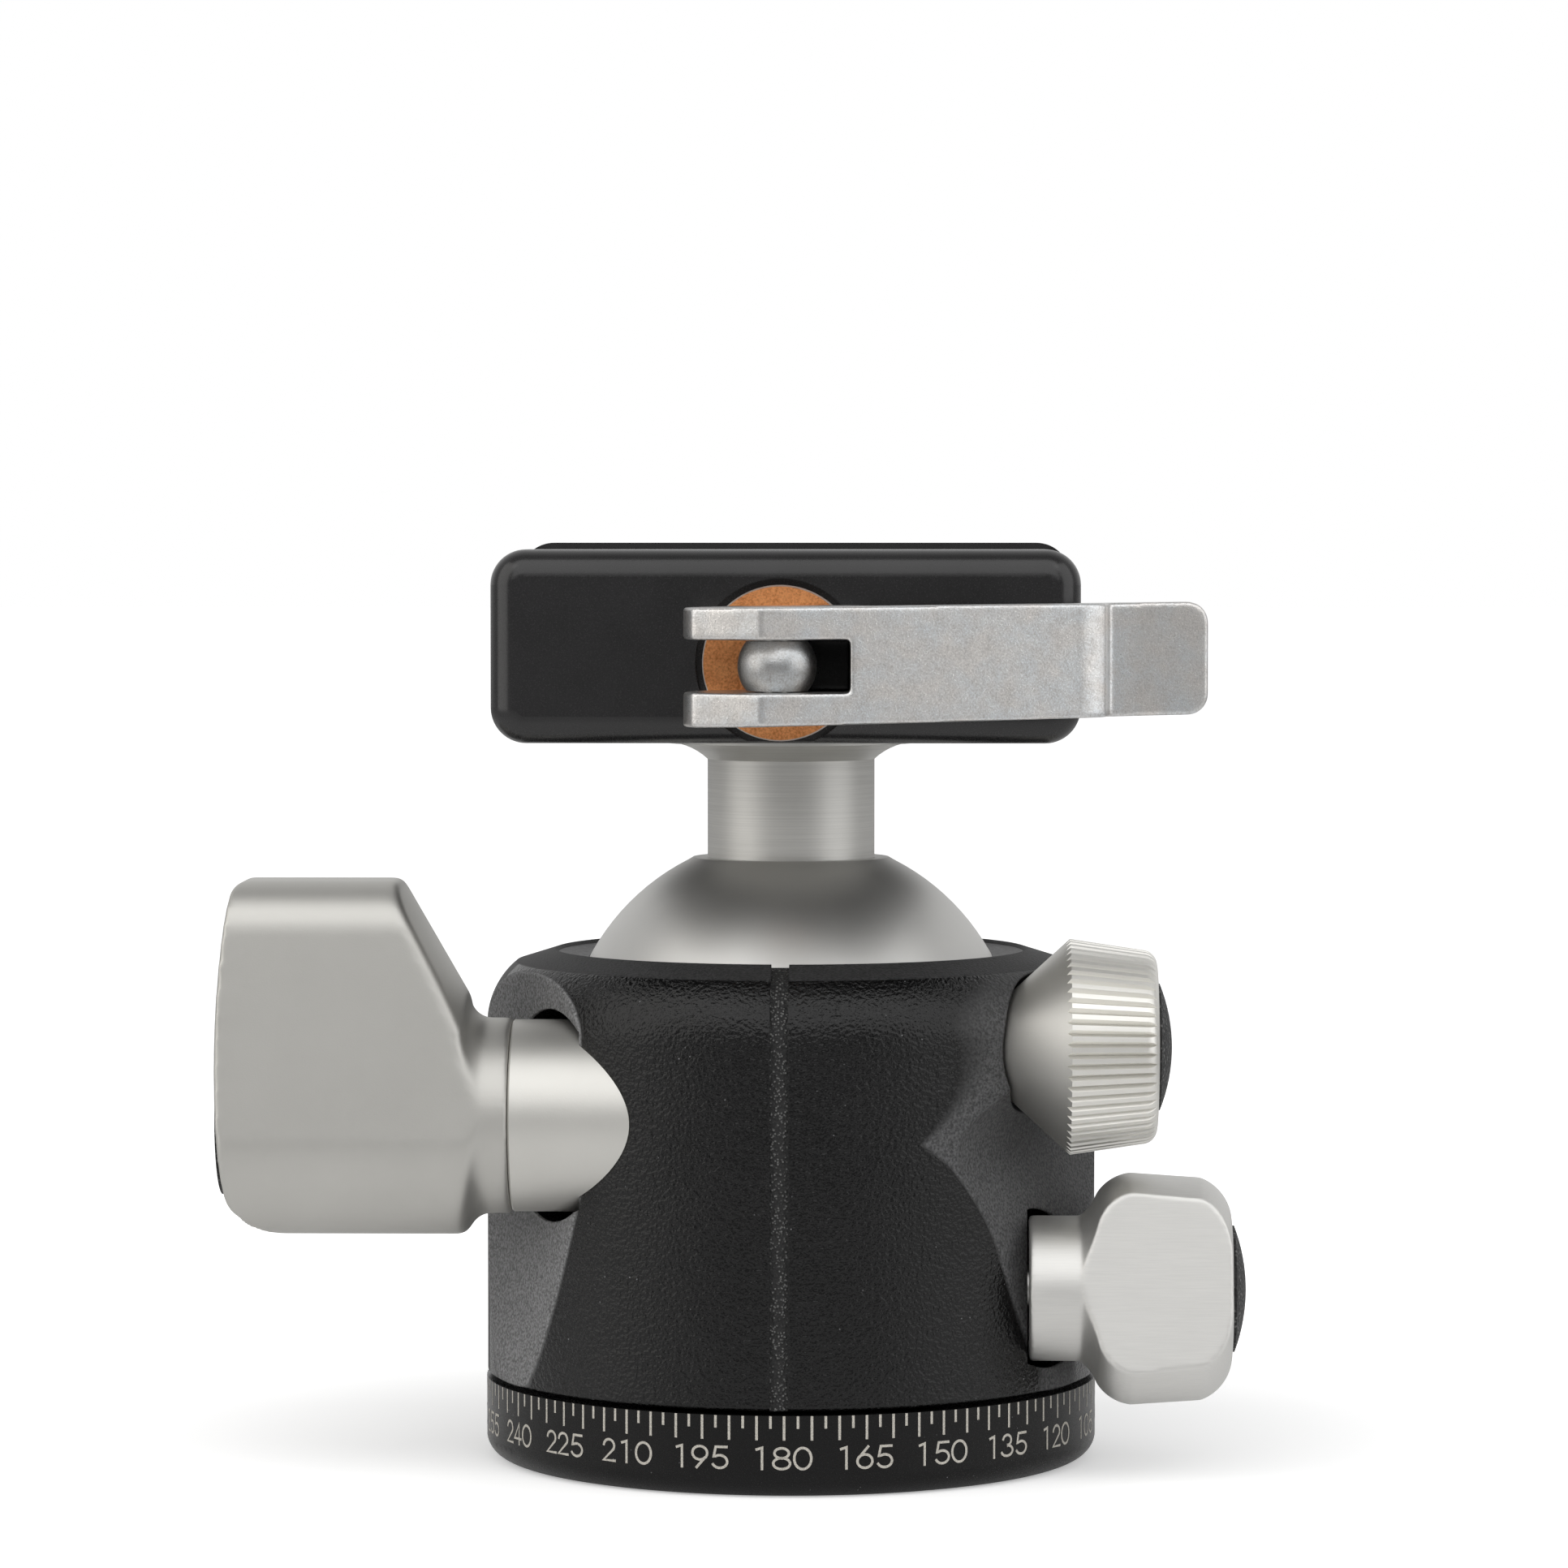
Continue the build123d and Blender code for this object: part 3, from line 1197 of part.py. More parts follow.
# Lever: its plan, then its outline from the front, then the fork's slot
with BuildPart() as lever:
    with BuildSketch(Plane.XY.offset(lever_bottom)):
        with BuildLine():
            cam_end = cam_start + lever_open_angle + cam_overlap
            spiral_steps = 8
            step = (cam_end - cam_start) / spiral_steps
            Spline(*[cam_point(cam_start + n * step) for n in range(spiral_steps + 1)])
            bar_end = (lever_bar_end, -lever_bar_end_front)
            bar_round_end = (lever_bar_round_end, -lever_bar_round_front)
            paddle_end = (lever_paddle_end, -lever_paddle_end_front)
            paddle_end_back = (lever_paddle_end, lever_paddle_thickness - lever_paddle_end_front)
            paddle_bend_back = (lever_paddle_bend, lever_paddle_thickness - lever_paddle_front)
            bar_end_back = (lever_bar_end, lever_bar_thickness - lever_bar_end_front)
            heel_end = (lever_heel_end, -lever_heel_front)
            Polyline(
                cam_point(cam_end),
                (-lever_facet_end, -lever_facet_front),
                (-lever_facet_start, -lever_front),
                bar_end,
            )
            bulge = lever_bar_round_bulge / 2
            ThreePointArc(bar_end, between(bar_end, bar_round_end, bulge, -bulge), bar_round_end)
            Polyline(
                bar_round_end,
                (lever_paddle_start, -lever_paddle_start_front),
                (lever_paddle_bend, -lever_paddle_front),
                paddle_end,
                paddle_end_back,
                paddle_bend_back,
                bar_end_back,
                heel_end,
                cam_point(cam_back),
            )
            RadiusArc(cam_point(cam_back), cam_point(cam_start), -cam_start_radius)
        make_face()
    extrude(amount=lever_top + lever_top_rise - lever_bottom)
    with BuildSketch(Plane.XZ) as side:
        left = -lever_facet_end - overrun
        right_top = (lever_paddle_end, lever_top + lever_top_rise)
        right_bottom = (lever_paddle_end, lever_bottom + lever_bottom_rise)
        Polygon(
            (left, lever_bottom),
            (-lever_facet_end, lever_bottom),
            right_bottom,
            right_top,
            (-lever_facet_end, lever_top),
            (left, lever_top),
            align=None,
        )
        fillet(
            [side.vertices().sort_by_distance(corner)[0] for corner in (right_top, right_bottom)],
            lever_paddle_round,
        )
    extrude(amount=lever_front + overrun, mode=Mode.INTERSECT)
    with BuildSketch(Plane.XY.offset(rod_z - lever_slot_height / 2)):
        reach = 2 * cam_start_radius
        with Locations((rod_x + rod_radius + lever_slot_room, -lever_pin_front)):
            Rectangle(reach, 2 * reach, align=(Align.MAX, Align.CENTER))
        with Locations((lever_slot_end, lever_web_setback - lever_pin_front)):
            Rectangle(reach, reach, align=(Align.MAX, Align.MAX))
    extrude(amount=lever_slot_height, mode=Mode.SUBTRACT)
    with BuildSketch(Plane.XY.offset(lever_bottom)):
        with Locations((rod_x, -lever_pin_front)):
            Circle(lever_pin_radius)
    extrude(amount=lever_top + lever_top_rise - lever_bottom, mode=Mode.SUBTRACT)
lever.part.label = "lever"
export_step(lever.part, "parts/lever.step")

with BuildPart() as lever_pin:
    with BuildSketch(Plane.XY.offset(lever_bottom + lever_pin_recess)):
        with Locations((rod_x, -lever_pin_front)):
            Circle(lever_pin_radius)
    extrude(amount=lever_top - lever_bottom - 2 * lever_pin_recess)
lever_pin.part.label = "lever_pin"
export_step(lever_pin.part, "parts/lever_pin.step")
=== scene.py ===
"""Looks of the tripod ball head: finishes, softened edges, degree marks, light and camera."""

import json
import math

import bmesh
import bpy
import numpy as np
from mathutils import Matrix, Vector

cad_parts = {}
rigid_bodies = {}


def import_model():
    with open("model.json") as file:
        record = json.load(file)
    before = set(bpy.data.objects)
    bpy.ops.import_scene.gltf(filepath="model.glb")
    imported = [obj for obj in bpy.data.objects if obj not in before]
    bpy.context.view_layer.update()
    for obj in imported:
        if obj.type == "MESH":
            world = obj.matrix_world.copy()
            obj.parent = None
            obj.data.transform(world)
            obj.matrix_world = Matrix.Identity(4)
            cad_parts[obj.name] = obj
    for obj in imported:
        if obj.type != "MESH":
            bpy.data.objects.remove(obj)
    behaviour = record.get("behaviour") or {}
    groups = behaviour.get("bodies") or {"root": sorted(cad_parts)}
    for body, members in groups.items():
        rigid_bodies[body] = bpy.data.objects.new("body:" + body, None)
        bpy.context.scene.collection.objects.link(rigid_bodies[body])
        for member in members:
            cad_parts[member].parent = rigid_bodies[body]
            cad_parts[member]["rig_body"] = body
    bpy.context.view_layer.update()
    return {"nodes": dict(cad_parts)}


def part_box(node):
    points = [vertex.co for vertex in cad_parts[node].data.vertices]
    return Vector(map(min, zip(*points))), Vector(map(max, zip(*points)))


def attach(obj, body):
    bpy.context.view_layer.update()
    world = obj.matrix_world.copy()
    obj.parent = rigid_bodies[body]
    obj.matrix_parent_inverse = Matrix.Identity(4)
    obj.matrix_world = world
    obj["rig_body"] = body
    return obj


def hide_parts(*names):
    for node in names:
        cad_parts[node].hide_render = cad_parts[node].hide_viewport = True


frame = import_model()
nodes = frame["nodes"]

MM = 0.001
WHITE = (1, 1, 1, 1)

# Camera: the photograph's pinhole, found from the ring's degree marks. Its angles are in radians.
CAMERA_AZIMUTH = 0.0219
CAMERA_PITCH = 0.0419
CAMERA_DISTANCE = 521.8 * MM
CAMERA_HEIGHT = 80.65 * MM
FOCAL_PIXELS = 7335.4
PHOTO_PIXELS = 1932
PRINCIPAL_X = 974.69
SENSOR_WIDTH = 36.0
CLIP_START = 0.05
CLIP_END = 30.0

# The degree ring of the base: how far its skin and the marks on it stand inside the CAD's radius
RING_RADIUS = 26.75 * MM
RING_INSET = 0.016 * MM
MARK_INSET = 0.004 * MM
RING_TOLERANCE = 0.002 * MM

# Ticks, with a step in degrees, and heights above the ground
TICK_STEP = 2.5
TICK_WIDTH = 0.22 * MM
TICK_TOP = 6.98 * MM
LONG_TICK_END = 4.94 * MM
SHORT_TICK_END = 5.93 * MM

# Numbers, with a step in degrees, and the one that faces the front
NUMBER_STEP = 15
NUMBER_IN_FRONT = 180
NUMBER_HEIGHT = 2.02 * MM
NUMBER_BOTTOM = 2.42 * MM
STROKE_WIDTH = 0.215 * MM
# Gap between two figures, and what a 1 adds on its left and on its right, in heights of a figure
FIGURE_GAP = 0.06
ROOM_BESIDE_ONE = (0.21, 0.29)
# At a bend a stroke grows wider, up to its width divided by this
SHARPEST_BEND = 0.6
# Stands in for a length of zero where something is divided by it
TINY = 1e-9

# Height where the neck's turning lines begin, and the height over which they set in
NECK_FOOT = 52.4 * MM
NECK_BLUR = 0.3 * MM

# The box of the lever slot's pocket beside the eye of the draw rod, where shade is painted black on the
# lever
ROD_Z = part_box("draw_rod")[0][2] / 2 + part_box("draw_rod")[1][2] / 2
POCKET_HALF = 2.3 * MM
LEVER_POCKET_SHADE = (
    (1.2 * MM, -32.0 * MM, ROD_Z - POCKET_HALF),
    (6.2 * MM, -20.0 * MM, ROD_Z + POCKET_HALF),
)

# Softened copies of CAD nodes: the record's slot, the voxel's size, rounds of smoothing, and the
# share of the faces that stays
SOFTENED = {
    "main_knob": ("satin_anodised", 0.2 * MM, 18, 1.0),
    "lever": ("tumbled_steel", 0.15 * MM, 15, 0.5),
    "pan_knob": ("brushed_anodised", 0.16 * MM, 10, 0.6),
}
# Length of the main knob's collar that is drawn out to the sleeve
COLLAR_REACH = 1.2 * MM

# The housing's glossy front ends at its rim's crease and at a facet on each side. A facet cuts into
# the wall by a profile of height and distance from the axis, which the mask of the finish follows:
# the facet's azimuth in degrees, the height where it starts and ends, and how deep it is there.
WALL_RADIUS = 26.65 * MM
GLOSS_TOP = 43.35 * MM
GLOSS_BACK = -5.0 * MM
GLOSS_BLUR = 0.12 * MM
LEFT_FACET = (-64.0, 7.35 * MM, 25.0 * MM, 2.05 * MM)
RIGHT_FACET = (61.0, 9.3 * MM, 19.8 * MM, 1.2 * MM)
# The right facet curves on to its deepest height, and runs out of the wall above that
RIGHT_DEEP = (29.5 * MM, 3.05 * MM)
RIGHT_RUN_OUT = (39.25 * MM, 4.55 * MM)
RUN_OUT_LEAD = 2 * MM
RUN_OUT_BLUR = 16 * GLOSS_BLUR
# Width over which the bevel turns the housing's edges, and the rays that it takes
BEVEL_RADIUS = 0.3 * MM
BEVEL_SAMPLES = 6

# Ranges of a noise that a finish draws out: the narrower, the harder its contrast
SOFTEST = (0.25, 0.75)
SOFT = (0.3, 0.7)
HARD = (0.35, 0.65)
HARDEST = (0.36, 0.64)

# Linear colours, a darker and a lighter one where they are pairs
PALE_SPECK = (0.16, 0.16, 0.165)
# Black painted as the shade inside the lever slot's pocket
PAINTED_SHADE_BLACK = (0.01, 0.01, 0.01)
GLOSS_BLACKS = ((0.0024, 0.0024, 0.0025), (0.0038, 0.0037, 0.0039))
# Sandy greys of the housing's matt finish: the rim's is darker as painted shade, the left facet's lighter
# as painted light, and the right one serves the right facet and the back
SHADED_RIM_SANDS = ((0.012, 0.012, 0.0125), (0.042, 0.042, 0.043))
RIGHT_SANDS = ((0.034, 0.034, 0.035), (0.11, 0.11, 0.112))
LIT_LEFT_SANDS = ((0.085, 0.085, 0.086), (0.27, 0.27, 0.274))
COPPERS = ((0.5, 0.18, 0.06), (0.9, 0.4, 0.16))
MARK_GREYS = ((0.34, 0.32, 0.285), (0.62, 0.59, 0.53))

# Light of the room in front, behind and overhead, as matt and as shiny surfaces see it
ROOM_DIFFUSE = (0.12, 0.6, 0.25)
ROOM_MIRRORED = (0.07, 1.0, 0.2)
# Where the wall's light sets in along Y, and the roof's along Z, of a direction's unit vector
WALL_EDGES = (-0.2, 0.8)
ROOF_EDGES = (0.45, 0.92)

# The floor's half width, and its shade and its glow for the camera: beside the head, far from it,
# and the distance that counts as far. Both begin to change at a share of that distance.
FLOOR_HALF = 6.0
FLOOR_SHADE = (0.82, 0.4, 0.3)
FLOOR_GLOW = (0.4, 1.0, 0.14)
FLOOR_NEAR_SHARE = 0.2
# The floor's glow that shiny surfaces see
FLOOR_MIRRORED = 0.1

# The point that the lamps face
LAMP_TARGET = Vector((0, 0, 0.04))


# Node trees
class Graph:
    """A node tree, with short calls for the nodes used here."""

    def __init__(self, tree):
        self.tree = tree
        self.tree.nodes.clear()

    def add(self, kind, **settings):
        """A new node of a kind, with its settings."""
        node = self.tree.nodes.new(kind)
        for key, value in settings.items():
            setattr(node, key, value)
        return node

    def link(self, output, socket):
        """A link from an output to a socket."""
        self.tree.links.new(output, socket)

    def feed(self, socket, value):
        """A number, a linear colour or another node's output, given to a socket."""
        if isinstance(value, (int, float)):
            socket.default_value = value
        elif isinstance(value, tuple):
            socket.default_value = (*value, 1.0)
        else:
            self.link(value, socket)

    def axes(self, place):
        """The three numbers of a place."""
        node = self.add("ShaderNodeSeparateXYZ")
        self.link(place, node.inputs[0])
        return node.outputs

    def ramp(self, value, low, high, out_low=0.0, out_high=1.0, curve="LINEAR"):
        """The value between low and high, drawn out to the range from out_low to out_high."""
        node = self.add("ShaderNodeMapRange", clamp=True, interpolation_type=curve)
        ends = {"Value": value, "From Min": low, "From Max": high, "To Min": out_low, "To Max": out_high}
        for key, end in ends.items():
            self.feed(node.inputs[key], end)
        return node.outputs["Result"]

    def math(self, operation, a, b):
        """The result of an operation on two values."""
        node = self.add("ShaderNodeMath", operation=operation)
        self.feed(node.inputs[0], a)
        self.feed(node.inputs[1], b)
        return node.outputs[0]

    def mix(self, factor, a, b):
        """Colour a where the factor is 0, and b where it is 1."""
        node = self.add("ShaderNodeMix", data_type="RGBA")
        self.feed(node.inputs["Factor"], factor)
        self.feed(node.inputs[6], a)
        self.feed(node.inputs[7], b)
        return node.outputs[2]

    def mix_shaders(self, factor, a, b):
        """Shader a where the factor is 0, and b where it is 1."""
        node = self.add("ShaderNodeMixShader")
        for socket, output in zip(node.inputs, (factor, a, b)):
            self.link(output, socket)
        return node.outputs[0]

    def mirrored(self, path):
        """Whether a ray comes from a shiny or a clear surface."""
        return self.math("MAXIMUM", path.outputs["Is Glossy Ray"], path.outputs["Is Transmission Ray"])


class Finish(Graph):
    """A material with one shader, whose textures are laid out in metres of the frame."""

    def __init__(self, name):
        self.material = bpy.data.materials.new(name)
        self.material.use_nodes = True
        super().__init__(self.material.node_tree)
        self.shader = self.add("ShaderNodeBsdfPrincipled")
        out = self.add("ShaderNodeOutputMaterial")
        self.link(self.shader.outputs[0], out.inputs["Surface"])
        self.place = self.add("ShaderNodeTexCoord").outputs["Object"]

    def scaled(self, scale):
        """The place in the frame, stretched by a number for each axis, in 1/m."""
        node = self.add("ShaderNodeMapping")
        node.inputs["Scale"].default_value = scale
        self.link(self.place, node.inputs["Vector"])
        return node.outputs["Vector"]

    def noise(self, size, detail=3.0, roughness=0.5, place=None):
        """Noise whose features are about size metres wide."""
        node = self.add("ShaderNodeTexNoise")
        node.inputs["Scale"].default_value = 1.0 / size
        node.inputs["Detail"].default_value = detail
        node.inputs["Roughness"].default_value = roughness
        self.link(place or self.place, node.inputs["Vector"])
        return node.outputs["Fac"]

    def lines(self, scale, roughness):
        """Noise drawn out into lines, by a stretched place."""
        return self.noise(1.0, roughness=roughness, place=self.scaled(scale))

    def cells(self, size):
        """Distance from the middle of cells about size metres wide."""
        node = self.add("ShaderNodeTexVoronoi")
        node.inputs["Scale"].default_value = 1.0 / size
        self.link(self.place, node.inputs["Vector"])
        return node.outputs["Distance"]

    def blend(self, first, first_share, second, second_share):
        """The sum of two values by their shares."""
        return self.math(
            "ADD", self.math("MULTIPLY", first, first_share), self.math("MULTIPLY", second, second_share)
        )

    def specked(self, colour):
        """The colour with a few pale specks of dust in it."""
        dust = self.ramp(self.cells(0.9 * MM), 0.085, 0.06)
        some = self.ramp(self.noise(1.9 * MM, detail=2.0), 0.56, 0.62)
        return self.mix(self.math("MULTIPLY", dust, some), colour, PALE_SPECK)

    def bump(self, height, depth, below=None):
        """Relief of a depth in metres, laid over the surface's own direction or over another one."""
        node = self.add("ShaderNodeBump")
        node.inputs["Strength"].default_value = 1.0
        node.inputs["Distance"].default_value = depth
        self.link(height, node.inputs["Height"])
        if below is not None:
            self.link(below, node.inputs["Normal"])
        return node.outputs["Normal"]

    def made(self, **values):
        """The material, once its shader has its values. An underscore stands for a space."""
        for key, value in values.items():
            self.feed(self.shader.inputs[key.replace("_", " ")], value)
        return self.material


# Finishes. Tones and colours are linear, and sizes and depths are in metres.
def grey(value, warmth):
    """A linear colour near grey, with more red and less blue the warmer it is."""
    return (value * (1 + warmth * 0.3), value, value * (1 - warmth))


def satin_metal(name, tone, roughness):
    """Bead-blasted and anodised aluminium: a fine even grain and faint clouds of tone."""
    warmth, blotch = 0.05, 0.03
    t = Finish(name)
    cloud = t.noise(6 * MM, detail=4.0)
    fine = t.noise(0.12 * MM, detail=2.0, roughness=0.6)
    shade = t.blend(cloud, 0.6, fine, 0.4)
    dull, bright = grey(tone * (1 - blotch), warmth), grey(tone * (1 + blotch), warmth)
    return t.made(
        Base_Color=t.mix(t.ramp(shade, *SOFT), dull, bright),
        Metallic=1.0,
        Roughness=t.ramp(fine, *SOFTEST, roughness - 0.04, roughness + 0.05),
        Normal=t.bump(fine, 0.006 * MM),
    )


def brushed_metal(name, tone, roughness, stretch):
    """Turned aluminium or steel with fine lines; stretch gives the lines' direction by axis."""
    warmth, contrast = 0.03, 0.05
    t = Finish(name)
    lines = t.lines(stretch, roughness=0.65)
    cloud = t.noise(5 * MM)
    dull, bright = grey(tone * (1 - contrast), warmth), grey(tone * (1 + contrast), warmth)
    worn = t.math("ADD", lines, t.math("MULTIPLY", cloud, 0.5))
    return t.made(
        Base_Color=t.mix(t.ramp(lines, *SOFTEST), dull, bright),
        Metallic=1.0,
        Roughness=t.ramp(worn, 0.4, 1.1, roughness - 0.06, roughness + 0.08),
        Normal=t.bump(lines, 0.0015 * MM),
    )


def ball_and_neck(name, tone):
    """A satin ball under a neck with turning lines, which begin at the height NECK_FOOT."""
    t = Finish(name)
    fine = t.noise(0.08 * MM, detail=2.0, roughness=0.6)
    cloud = t.noise(7 * MM)
    rings = t.lines((90, 90, 9000), roughness=0.6)
    turned = t.ramp(t.axes(t.place)["Z"], NECK_FOOT, NECK_FOOT + NECK_BLUR)
    ball = t.mix(t.ramp(cloud, *SOFT), grey(tone * 0.97, 0.03), grey(tone * 1.02, 0.03))
    neck = t.mix(t.ramp(rings, *SOFT), grey(tone * 0.92, 0.04), grey(tone * 1.05, 0.04))
    relief = t.math("ADD", fine, t.math("MULTIPLY", turned, rings))
    return t.made(
        Base_Color=t.mix(turned, ball, neck),
        Metallic=1.0,
        Roughness=t.ramp(fine, *SOFTEST, 0.44, 0.52),
        Normal=t.bump(relief, 0.0015 * MM),
    )


def tumbled_metal(name, tone, shade_box=None):
    """Cast steel, tumbled: a cloudy speckle of darker pits over pale rubbed metal.

    Inside the box of the third argument, two corners in metres, the pocket's shade is painted black on the
    metal."""
    t = Finish(name)
    speck = t.noise(0.16 * MM, roughness=0.7)
    cloud = t.noise(1.3 * MM, detail=4.0, roughness=0.6)
    tint = t.noise(2.4 * MM, detail=2.0)
    both = t.blend(speck, 0.7, cloud, 0.3)
    warm, cool, pit = (
        tuple(tone * share for share in shares)
        for shares in ((1.02, 0.985, 0.95), (0.97, 1.0, 1.02), (0.66, 0.635, 0.61))
    )
    pale = t.mix(t.ramp(tint, *HARD), warm, cool)
    colour = t.mix(t.ramp(both, 0.34, 0.56), pit, pale)
    if shade_box:
        inside = 1.0
        for axis, low, high in zip(t.axes(t.place), *shade_box):
            over, under = t.math("GREATER_THAN", axis, low), t.math("LESS_THAN", axis, high)
            inside = t.math("MULTIPLY", t.math("MULTIPLY", over, under), inside)
        # Painted shade: black inside the box
        colour = t.mix(inside, colour, PAINTED_SHADE_BLACK)
    return t.made(
        Base_Color=colour,
        Metallic=1.0,
        Roughness=t.ramp(both, *HARD, 0.38, 0.25),
        Normal=t.bump(both, 0.035 * MM),
    )


def beaded_black(name, tone, roughness, bead, depth, shine, specks):
    """Black anodised aluminium: soft beads of relief, with a few pale specks if asked for."""
    t = Finish(name)
    peel = t.noise(bead, detail=2.0, roughness=0.55)
    fine = t.noise(0.13 * MM, detail=2.0, roughness=0.6)
    height = t.math("ADD", peel, t.math("MULTIPLY", fine, 0.35))
    dark, pale = (
        tuple(tone * share for share in shares) for shares in ((0.9, 0.88, 0.9), (1.15, 1.12, 1.16))
    )
    colour = t.mix(t.ramp(t.noise(7 * MM), *HARD), dark, pale)
    if specks:
        colour = t.specked(colour)
    return t.made(
        Base_Color=colour,
        Metallic=0.0,
        Roughness=t.ramp(fine, *SOFT, roughness - 0.05, roughness + 0.06),
        Specular_IOR_Level=shine,
        Normal=t.bump(height, depth),
    )


def sandy_share(t):
    """Shares of the housing that are matt, that are its left facet or beyond, and that are its rim."""
    x, y, z = t.axes(t.place)

    def beyond(azimuth, profile, blur):
        """Whether a point stands on the facet or out of it, with an edge of the width blur."""
        a = math.radians(azimuth)
        out = t.blend(x, math.sin(a), y, -math.cos(a))
        return t.ramp(t.math("DIVIDE", t.math("SUBTRACT", out, profile), blur), -2, -1)

    azimuth, start, end, drop = LEFT_FACET
    left = beyond(azimuth, t.math("SUBTRACT", WALL_RADIUS, t.ramp(z, start, end, 0.0, drop)), GLOSS_BLUR)

    azimuth, start, end, drop = RIGHT_FACET
    deep_height, deep_drop = RIGHT_DEEP
    out_height, out_drop = RIGHT_RUN_OUT
    # The straight foot goes on at its own slope, and a parabola takes it to the deepest height
    tangent = drop / (end - start) * (deep_height - end)
    along = t.ramp(z, end, deep_height)
    curve = t.math("MULTIPLY", t.math("MULTIPLY", along, along), deep_drop - tangent)
    foot, onward = t.ramp(z, start, end, 0.0, drop), t.ramp(z, end, deep_height, 0.0, tangent)
    depth = t.math("ADD", foot, t.math("ADD", onward, curve))
    # A second parabola takes it out again, with an edge that fades
    back_share = t.ramp(z, deep_height, out_height)
    rise = t.math("MULTIPLY", t.math("SUBTRACT", 2.0, back_share), t.math("MULTIPLY", back_share, out_drop))
    blur = t.ramp(z, deep_height - RUN_OUT_LEAD, out_height, GLOSS_BLUR, RUN_OUT_BLUR)
    profile = t.math("ADD", t.math("SUBTRACT", WALL_RADIUS, depth), rise)
    right = beyond(azimuth, profile, blur)

    sides = t.math("MAXIMUM", left, right)
    rim = t.ramp(z, GLOSS_TOP - GLOSS_BLUR, GLOSS_TOP)
    back = t.ramp(y, GLOSS_BACK - GLOSS_BLUR, GLOSS_BACK)
    return t.math("MAXIMUM", sides, t.math("MAXIMUM", rim, back)), left, rim


def housing_black(name):
    """The housing: a glossy orange-peel front, and matt sandy grey on its facets, back and rim, painted
    lighter on the left facet as painted light and darker on the rim as painted shade.
    """
    t = Finish(name)
    sandy, left, rim = sandy_share(t)
    peel = t.noise(0.32 * MM, detail=1.5)
    fine = t.noise(0.24 * MM, detail=2.0, roughness=0.6)
    cloud = t.noise(7 * MM)
    gloss = t.specked(t.mix(t.ramp(cloud, *HARD), *GLOSS_BLACKS))
    shaded_rim_sand, right_sand, lit_left_sand = (
        t.mix(t.ramp(fine, *HARDEST), *pair) for pair in (SHADED_RIM_SANDS, RIGHT_SANDS, LIT_LEFT_SANDS)
    )
    # Painted light and shade: the left facet's sand is lighter, and the rim's darker, than the right
    # facet's and the back's
    sand = t.mix(rim, t.mix(left, right_sand, lit_left_sand), shaded_rim_sand)
    peeled = t.math("MULTIPLY", peel, t.math("SUBTRACT", 1.0, sandy))
    grained = t.math("MULTIPLY", t.math("MULTIPLY", fine, 0.7), sandy)
    bevel = t.add("ShaderNodeBevel", samples=BEVEL_SAMPLES)
    bevel.inputs["Radius"].default_value = BEVEL_RADIUS
    return t.made(
        Base_Color=t.mix(sandy, gloss, sand),
        Roughness=t.math("ADD", t.math("MULTIPLY", sandy, 0.36), t.ramp(fine, *SOFT, 0.21, 0.29)),
        Specular_IOR_Level=0.34,
        Normal=t.bump(t.math("ADD", peeled, grained), 0.13 * MM, below=bevel.outputs[0]),
    )


def granular(name, tone, grain=0.42 * MM, depth=0.22 * MM):
    """Rubber or foam with a coarse grain, whose raised tops are painted pale as glints."""
    t = Finish(name)
    lumps = t.cells(grain)
    fine = t.noise(grain / 2, roughness=0.7)
    height = t.math("SUBTRACT", t.math("MULTIPLY", fine, 0.8), lumps)
    dark, painted_glint = (tone * 0.15,) * 3, (tone * 4.6, tone * 4.6, tone * 4.5)
    return t.made(
        # Painted glints: the grain's raised tops are pale
        Base_Color=t.mix(t.ramp(height, 0.0, 0.42), dark, painted_glint),
        Roughness=t.ramp(fine, *SOFT, 0.7, 0.42),
        Normal=t.bump(height, depth),
    )


def copper(name):
    """The copper-coloured washer: speckled, worn to bright metal in spots."""
    t = Finish(name)
    both = t.blend(t.noise(0.2 * MM, roughness=0.7), 0.8, t.noise(1.5 * MM), 0.2)
    return t.made(
        Base_Color=t.mix(t.ramp(both, 0.36, 0.6), *COPPERS),
        Metallic=1.0,
        Roughness=t.ramp(both, *HARD, 0.48, 0.34),
        Normal=t.bump(both, 0.012 * MM),
    )


def pale_mark(name):
    """Laser-cut marks: warm light grey where the black skin is gone."""
    t = Finish(name)
    fine = t.noise(0.09 * MM, roughness=0.7)
    return t.made(
        Base_Color=t.mix(t.ramp(fine, 0.35, 0.62), *MARK_GREYS),
        Roughness=0.62,
        Normal=t.bump(fine, 0.01 * MM),
    )


def moulded(name, tone):
    """Plain moulded plastic of the inner rings."""
    t = Finish(name)
    fine = t.noise(0.4 * MM)
    return t.made(
        Base_Color=t.mix(t.ramp(fine, *SOFT), tuple(0.92 * c for c in tone), tone),
        Roughness=t.ramp(fine, *SOFT, 0.42, 0.55),
        Normal=t.bump(fine, 0.01 * MM),
    )


def clamp_black(name, tone):
    """The clamp's smooth black."""
    return beaded_black(name, tone, 0.24, bead=0.2 * MM, depth=0.002 * MM, shine=0.5, specks=False)


RING_BLACK = {"bead": 0.3 * MM, "depth": 0.005 * MM, "shine": 0.25, "specks": True}
RUBBER_TONE = 0.045
SHOE_WHITE = (0.6, 0.6, 0.58)
# Stretch of the lines by axis, in 1/m, on pieces turned about X, and on those without a direction
TURNED_ABOUT_X = (60, 900, 900)
ALL_WAYS = (900, 900, 900)

